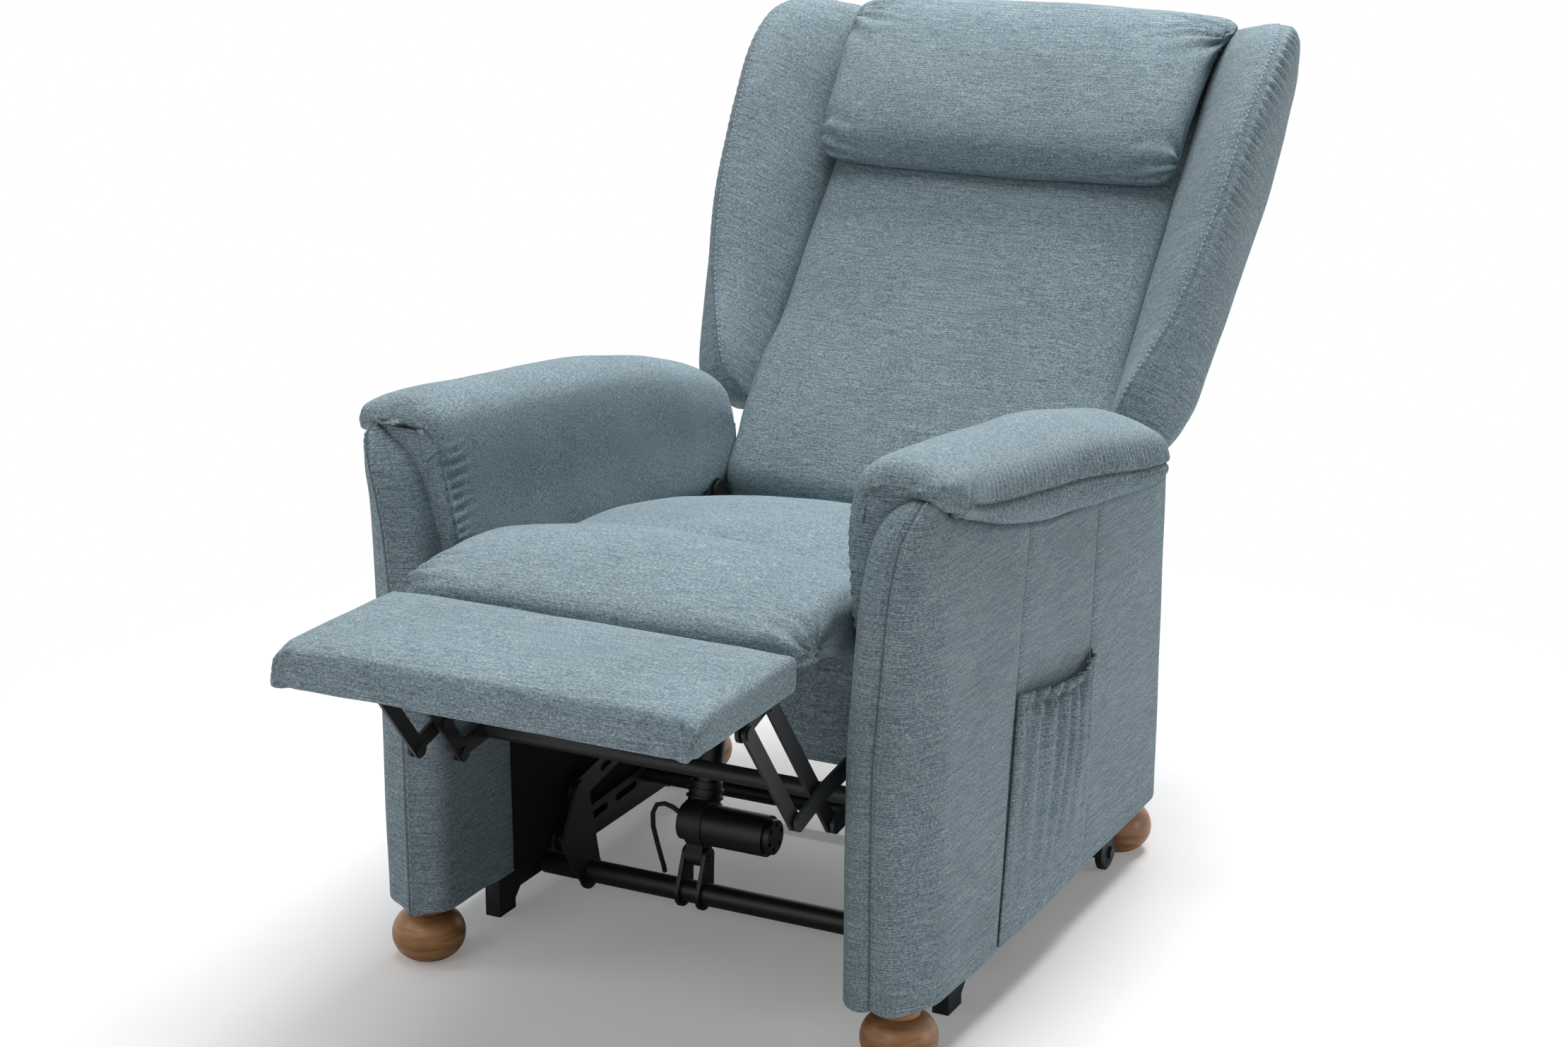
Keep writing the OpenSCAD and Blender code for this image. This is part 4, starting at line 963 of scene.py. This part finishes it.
stitch = {"pitch": 0.0085, "length": 0.0064, "width": 0.0016, "apart": 0.0060}
wingStitch = {"pitch": 0.0075, "length": 0.0052, "width": 0.0023, "inside": 0.007}


def besideSeam(side, aside, y, z):
    return place(side * (stationAt(frontSeam, z)[0] + aside), y, z)


for side, armName in hands:
    threadMesh = bmesh.new()
    for aside in (-stitch["apart"], stitch["apart"]):
        line = [besideSeam(side, aside, -0.02, z) for z in np.linspace(0.075, 0.60, 60)]
        for z in np.linspace(0.605, 0.648, 8):  # over the dome
            x = side * (stationAt(frontSeam, z)[0] + aside)
            line.append(place(x, mixed(-0.02, 0.02, (z - 0.60) / 0.05), z + 0.004))
        stitchAlong(threadMesh, bpy.data.objects["arm_" + armName], line, stitch)
    finished("armStitches_" + armName, threadMesh, "chair", stitchThread)
    threadMesh = bmesh.new()
    line = []
    for t in np.linspace(0.165, 0.762, 80):
        ridge, rise = stationAt(wingLine, t)[:2]
        line.append(onBack(side * (ridge - wingStitch["inside"]), t, rise))
    stitchAlong(threadMesh, bpy.data.objects["wingCover_" + armName], line, wingStitch)
    finished("wingStitches_" + armName, threadMesh, "back", stitchThread)
threadMesh = bmesh.new()
stitchAlong(threadMesh, frontPad, [place(x, 0.158, 0.56) for x in np.linspace(-0.225, 0.225, 60)], stitch)
finished("seatStitches", threadMesh, "chair", stitchThread)
print("topstitching ready")

# rear cover of the back, wrapped round the board
cover = {
    "rows": (rowsOf(40), rowsOf(60), rowsOf(6)),
    "reach": (0.35, 0.383, 0.012),
    "fillet": (0.02, 0.02, 0.009),
    "foot": 0.004,
    "top": 0.772,
    "faces": (-0.0795, -0.0568),
    "swell": 0.003,
    "unevenness": (0.0012, 0.12, 80),
}
coverWidth = [
    (0.004, 0.235),
    (0.150, 0.236),
    (0.168, 0.292),
    (0.21, 0.328),
    (0.3, 0.338),
    (0.45, 0.347),
    (0.6, 0.350),
    (0.7, 0.347),
    (0.75, 0.335),
    (0.772, 0.318),
]
coverMesh = segmentedBlock(cover["rows"])
for vert in coverMesh.verts:
    s, d, f = rounded(vert.co, cover["reach"], cover["fillet"])
    t = mixed(cover["foot"], cover["top"], (d + 1) / 2)
    swell = cover["swell"] * (1 - s**4) * (1 - d**6)
    n = mixed(cover["faces"][0] - swell, cover["faces"][1], (f + 1) / 2)
    vert.co = onBack(s * stationAt(coverWidth, t)[0], t, n)
undulate(coverMesh, *cover["unevenness"])
rearCover = finished("rearCover", coverMesh, "back", backCloth)
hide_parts("back_board", "back_cover")

# front apron under the seat: the board's own outline in cloth, with soft edges
apron = {"offset": 0.004, "segments": 3}
apronMesh = bmesh.new()
apronMesh.from_mesh(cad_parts["seat_apron"].data)
bmesh.ops.remove_doubles(apronMesh, verts=apronMesh.verts, dist=1e-5)
bmesh.ops.dissolve_limit(apronMesh, angle_limit=0.02, verts=apronMesh.verts, edges=apronMesh.edges)
bmesh.ops.bevel(
    apronMesh,
    geom=apronMesh.edges[:],
    offset=apron["offset"],
    offset_type="OFFSET",
    affect="EDGES",
    segments=apron["segments"],
    profile=0.5,
    material=-1,
)
seatApron = finished("seatApron", apronMesh, "chair", seatCloth)
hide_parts("seat_apron")

# floor: matt white paper that keeps the shadow near the chair and is plain white further off
stage = {"paper": (0.86, 0.86, 0.86, 1), "glow": 0.17, "whiteFrom": 0.62, "whiteTo": 1.45, "ambient": 0.10}
floorMesh = bmesh.new()
bmesh.ops.create_grid(floorMesh, x_segments=1, y_segments=1, size=14)
paperFinish = {"Base Color": stage["paper"], "Roughness": 0.9, "Specular IOR Level": 0.1}
floorMaterial, floorTree, floorShader = newMaterial("studioPaper", paperFinish)
lightPath = addNode(floorTree, "ShaderNodeLightPath")
glow = addNode(floorTree, "ShaderNodeEmission", {"Color": (1, 1, 1, 1), "Strength": stage["glow"]})
total = addNode(floorTree, "ShaderNodeAddShader", {}, {0: floorShader.outputs[0], 1: glow.outputs[0]})
white = addNode(floorTree, "ShaderNodeEmission", {"Color": (1, 1, 1, 1), "Strength": 1.0})
floorPlace = addNode(floorTree, "ShaderNodeTexCoord").outputs["Object"]
fromMiddle = addNode(floorTree, "ShaderNodeVectorMath", {"operation": "LENGTH"}, {0: floorPlace})
whitening = {"interpolation_type": "SMOOTHSTEP", "From Min": stage["whiteFrom"], "From Max": stage["whiteTo"]}
faded = addNode(floorTree, "ShaderNodeMapRange", whitening, {"Value": fromMiddle.outputs["Value"]})
paper = addNode(floorTree, "ShaderNodeMixShader", {}, {0: faded.outputs[0], 1: total.outputs[0], 2: white.outputs[0]})
seenFrom = {0: lightPath.outputs["Is Camera Ray"], 1: floorShader.outputs[0], 2: paper.outputs[0]}
seen = addNode(floorTree, "ShaderNodeMixShader", {}, seenFrom)
floorTree.links.new(seen.outputs[0], floorTree.nodes["Material Output"].inputs["Surface"])
floor = finished("floor", floorMesh, None, floorMaterial)

world = bpy.data.worlds.new("studio")
bpy.context.scene.world = world
world.use_nodes = True
worldTree = world.node_tree
ambient = worldTree.nodes["Background"]
ambient.inputs["Color"].default_value = (1, 1, 1, 1)
ambient.inputs["Strength"].default_value = stage["ambient"]
backdrop = addNode(worldTree, "ShaderNodeBackground", {"Color": (1, 1, 1, 1), "Strength": 1.0})
rays = addNode(worldTree, "ShaderNodeLightPath")
whiteRays = {0: rays.outputs["Is Camera Ray"], 1: rays.outputs["Is Glossy Ray"]}
seenRays = addNode(worldTree, "ShaderNodeMath", {"operation": "MAXIMUM"}, whiteRays)
skyLinks = {0: seenRays.outputs[0], 1: ambient.outputs[0], 2: backdrop.outputs[0]}
skyMix = addNode(worldTree, "ShaderNodeMixShader", {}, skyLinks)
worldTree.links.new(skyMix.outputs[0], worldTree.nodes["World Output"].inputs["Surface"])

lamps = {
    "key": {"at": (0.3, 2.2, 4.2), "size": 2.0, "power": 186},
    "top": {"at": (0.0, -0.6, 4.5), "size": 2.5, "power": 72},
    "front": {"at": (-0.3, -2.8, 1.9), "size": 1.6, "power": 13},
    "left": {"at": (-2.2, -1.8, 2.0), "size": 1.0, "power": 8},
    "right": {"at": (2.6, 0.5, 0.7), "size": 0.8, "power": 7.5},
}
for lampName, lamp in lamps.items():
    light = bpy.data.lights.new(lampName, "AREA")
    light.size = lamp["size"]
    light.energy = lamp["power"]
    lampObject = bpy.data.objects.new(lampName, light)
    bpy.context.collection.objects.link(lampObject)
    lampObject.location = lamp["at"]
    lampObject.rotation_euler = (Vector((0, 0, 0.5)) - Vector(lamp["at"])).to_track_quat("-Z", "Y").to_euler()

view = {
    "target": (0.0265, -0.14065, 0.5),
    "distance": 3.3557,
    "azimuth": 26.7669,
    "elevation": 16.5146,
    "lens": 66.73,
}
turn, rise = math.radians(view["azimuth"]), math.radians(view["elevation"])
away = Vector((math.sin(turn) * math.cos(rise), -math.cos(turn) * math.cos(rise), math.sin(rise)))
cameraData = bpy.data.cameras.new("camera")
cameraData.lens = view["lens"]
cameraData.sensor_width = 36
camera = bpy.data.objects.new("camera", cameraData)
bpy.context.collection.objects.link(camera)
camera.location = Vector(view["target"]) + away * view["distance"]
camera.rotation_euler = (-away).to_track_quat("-Z", "Y").to_euler()
bpy.context.scene.camera = camera
bpy.context.scene.view_settings.view_transform = "Standard"

print("scene ready")
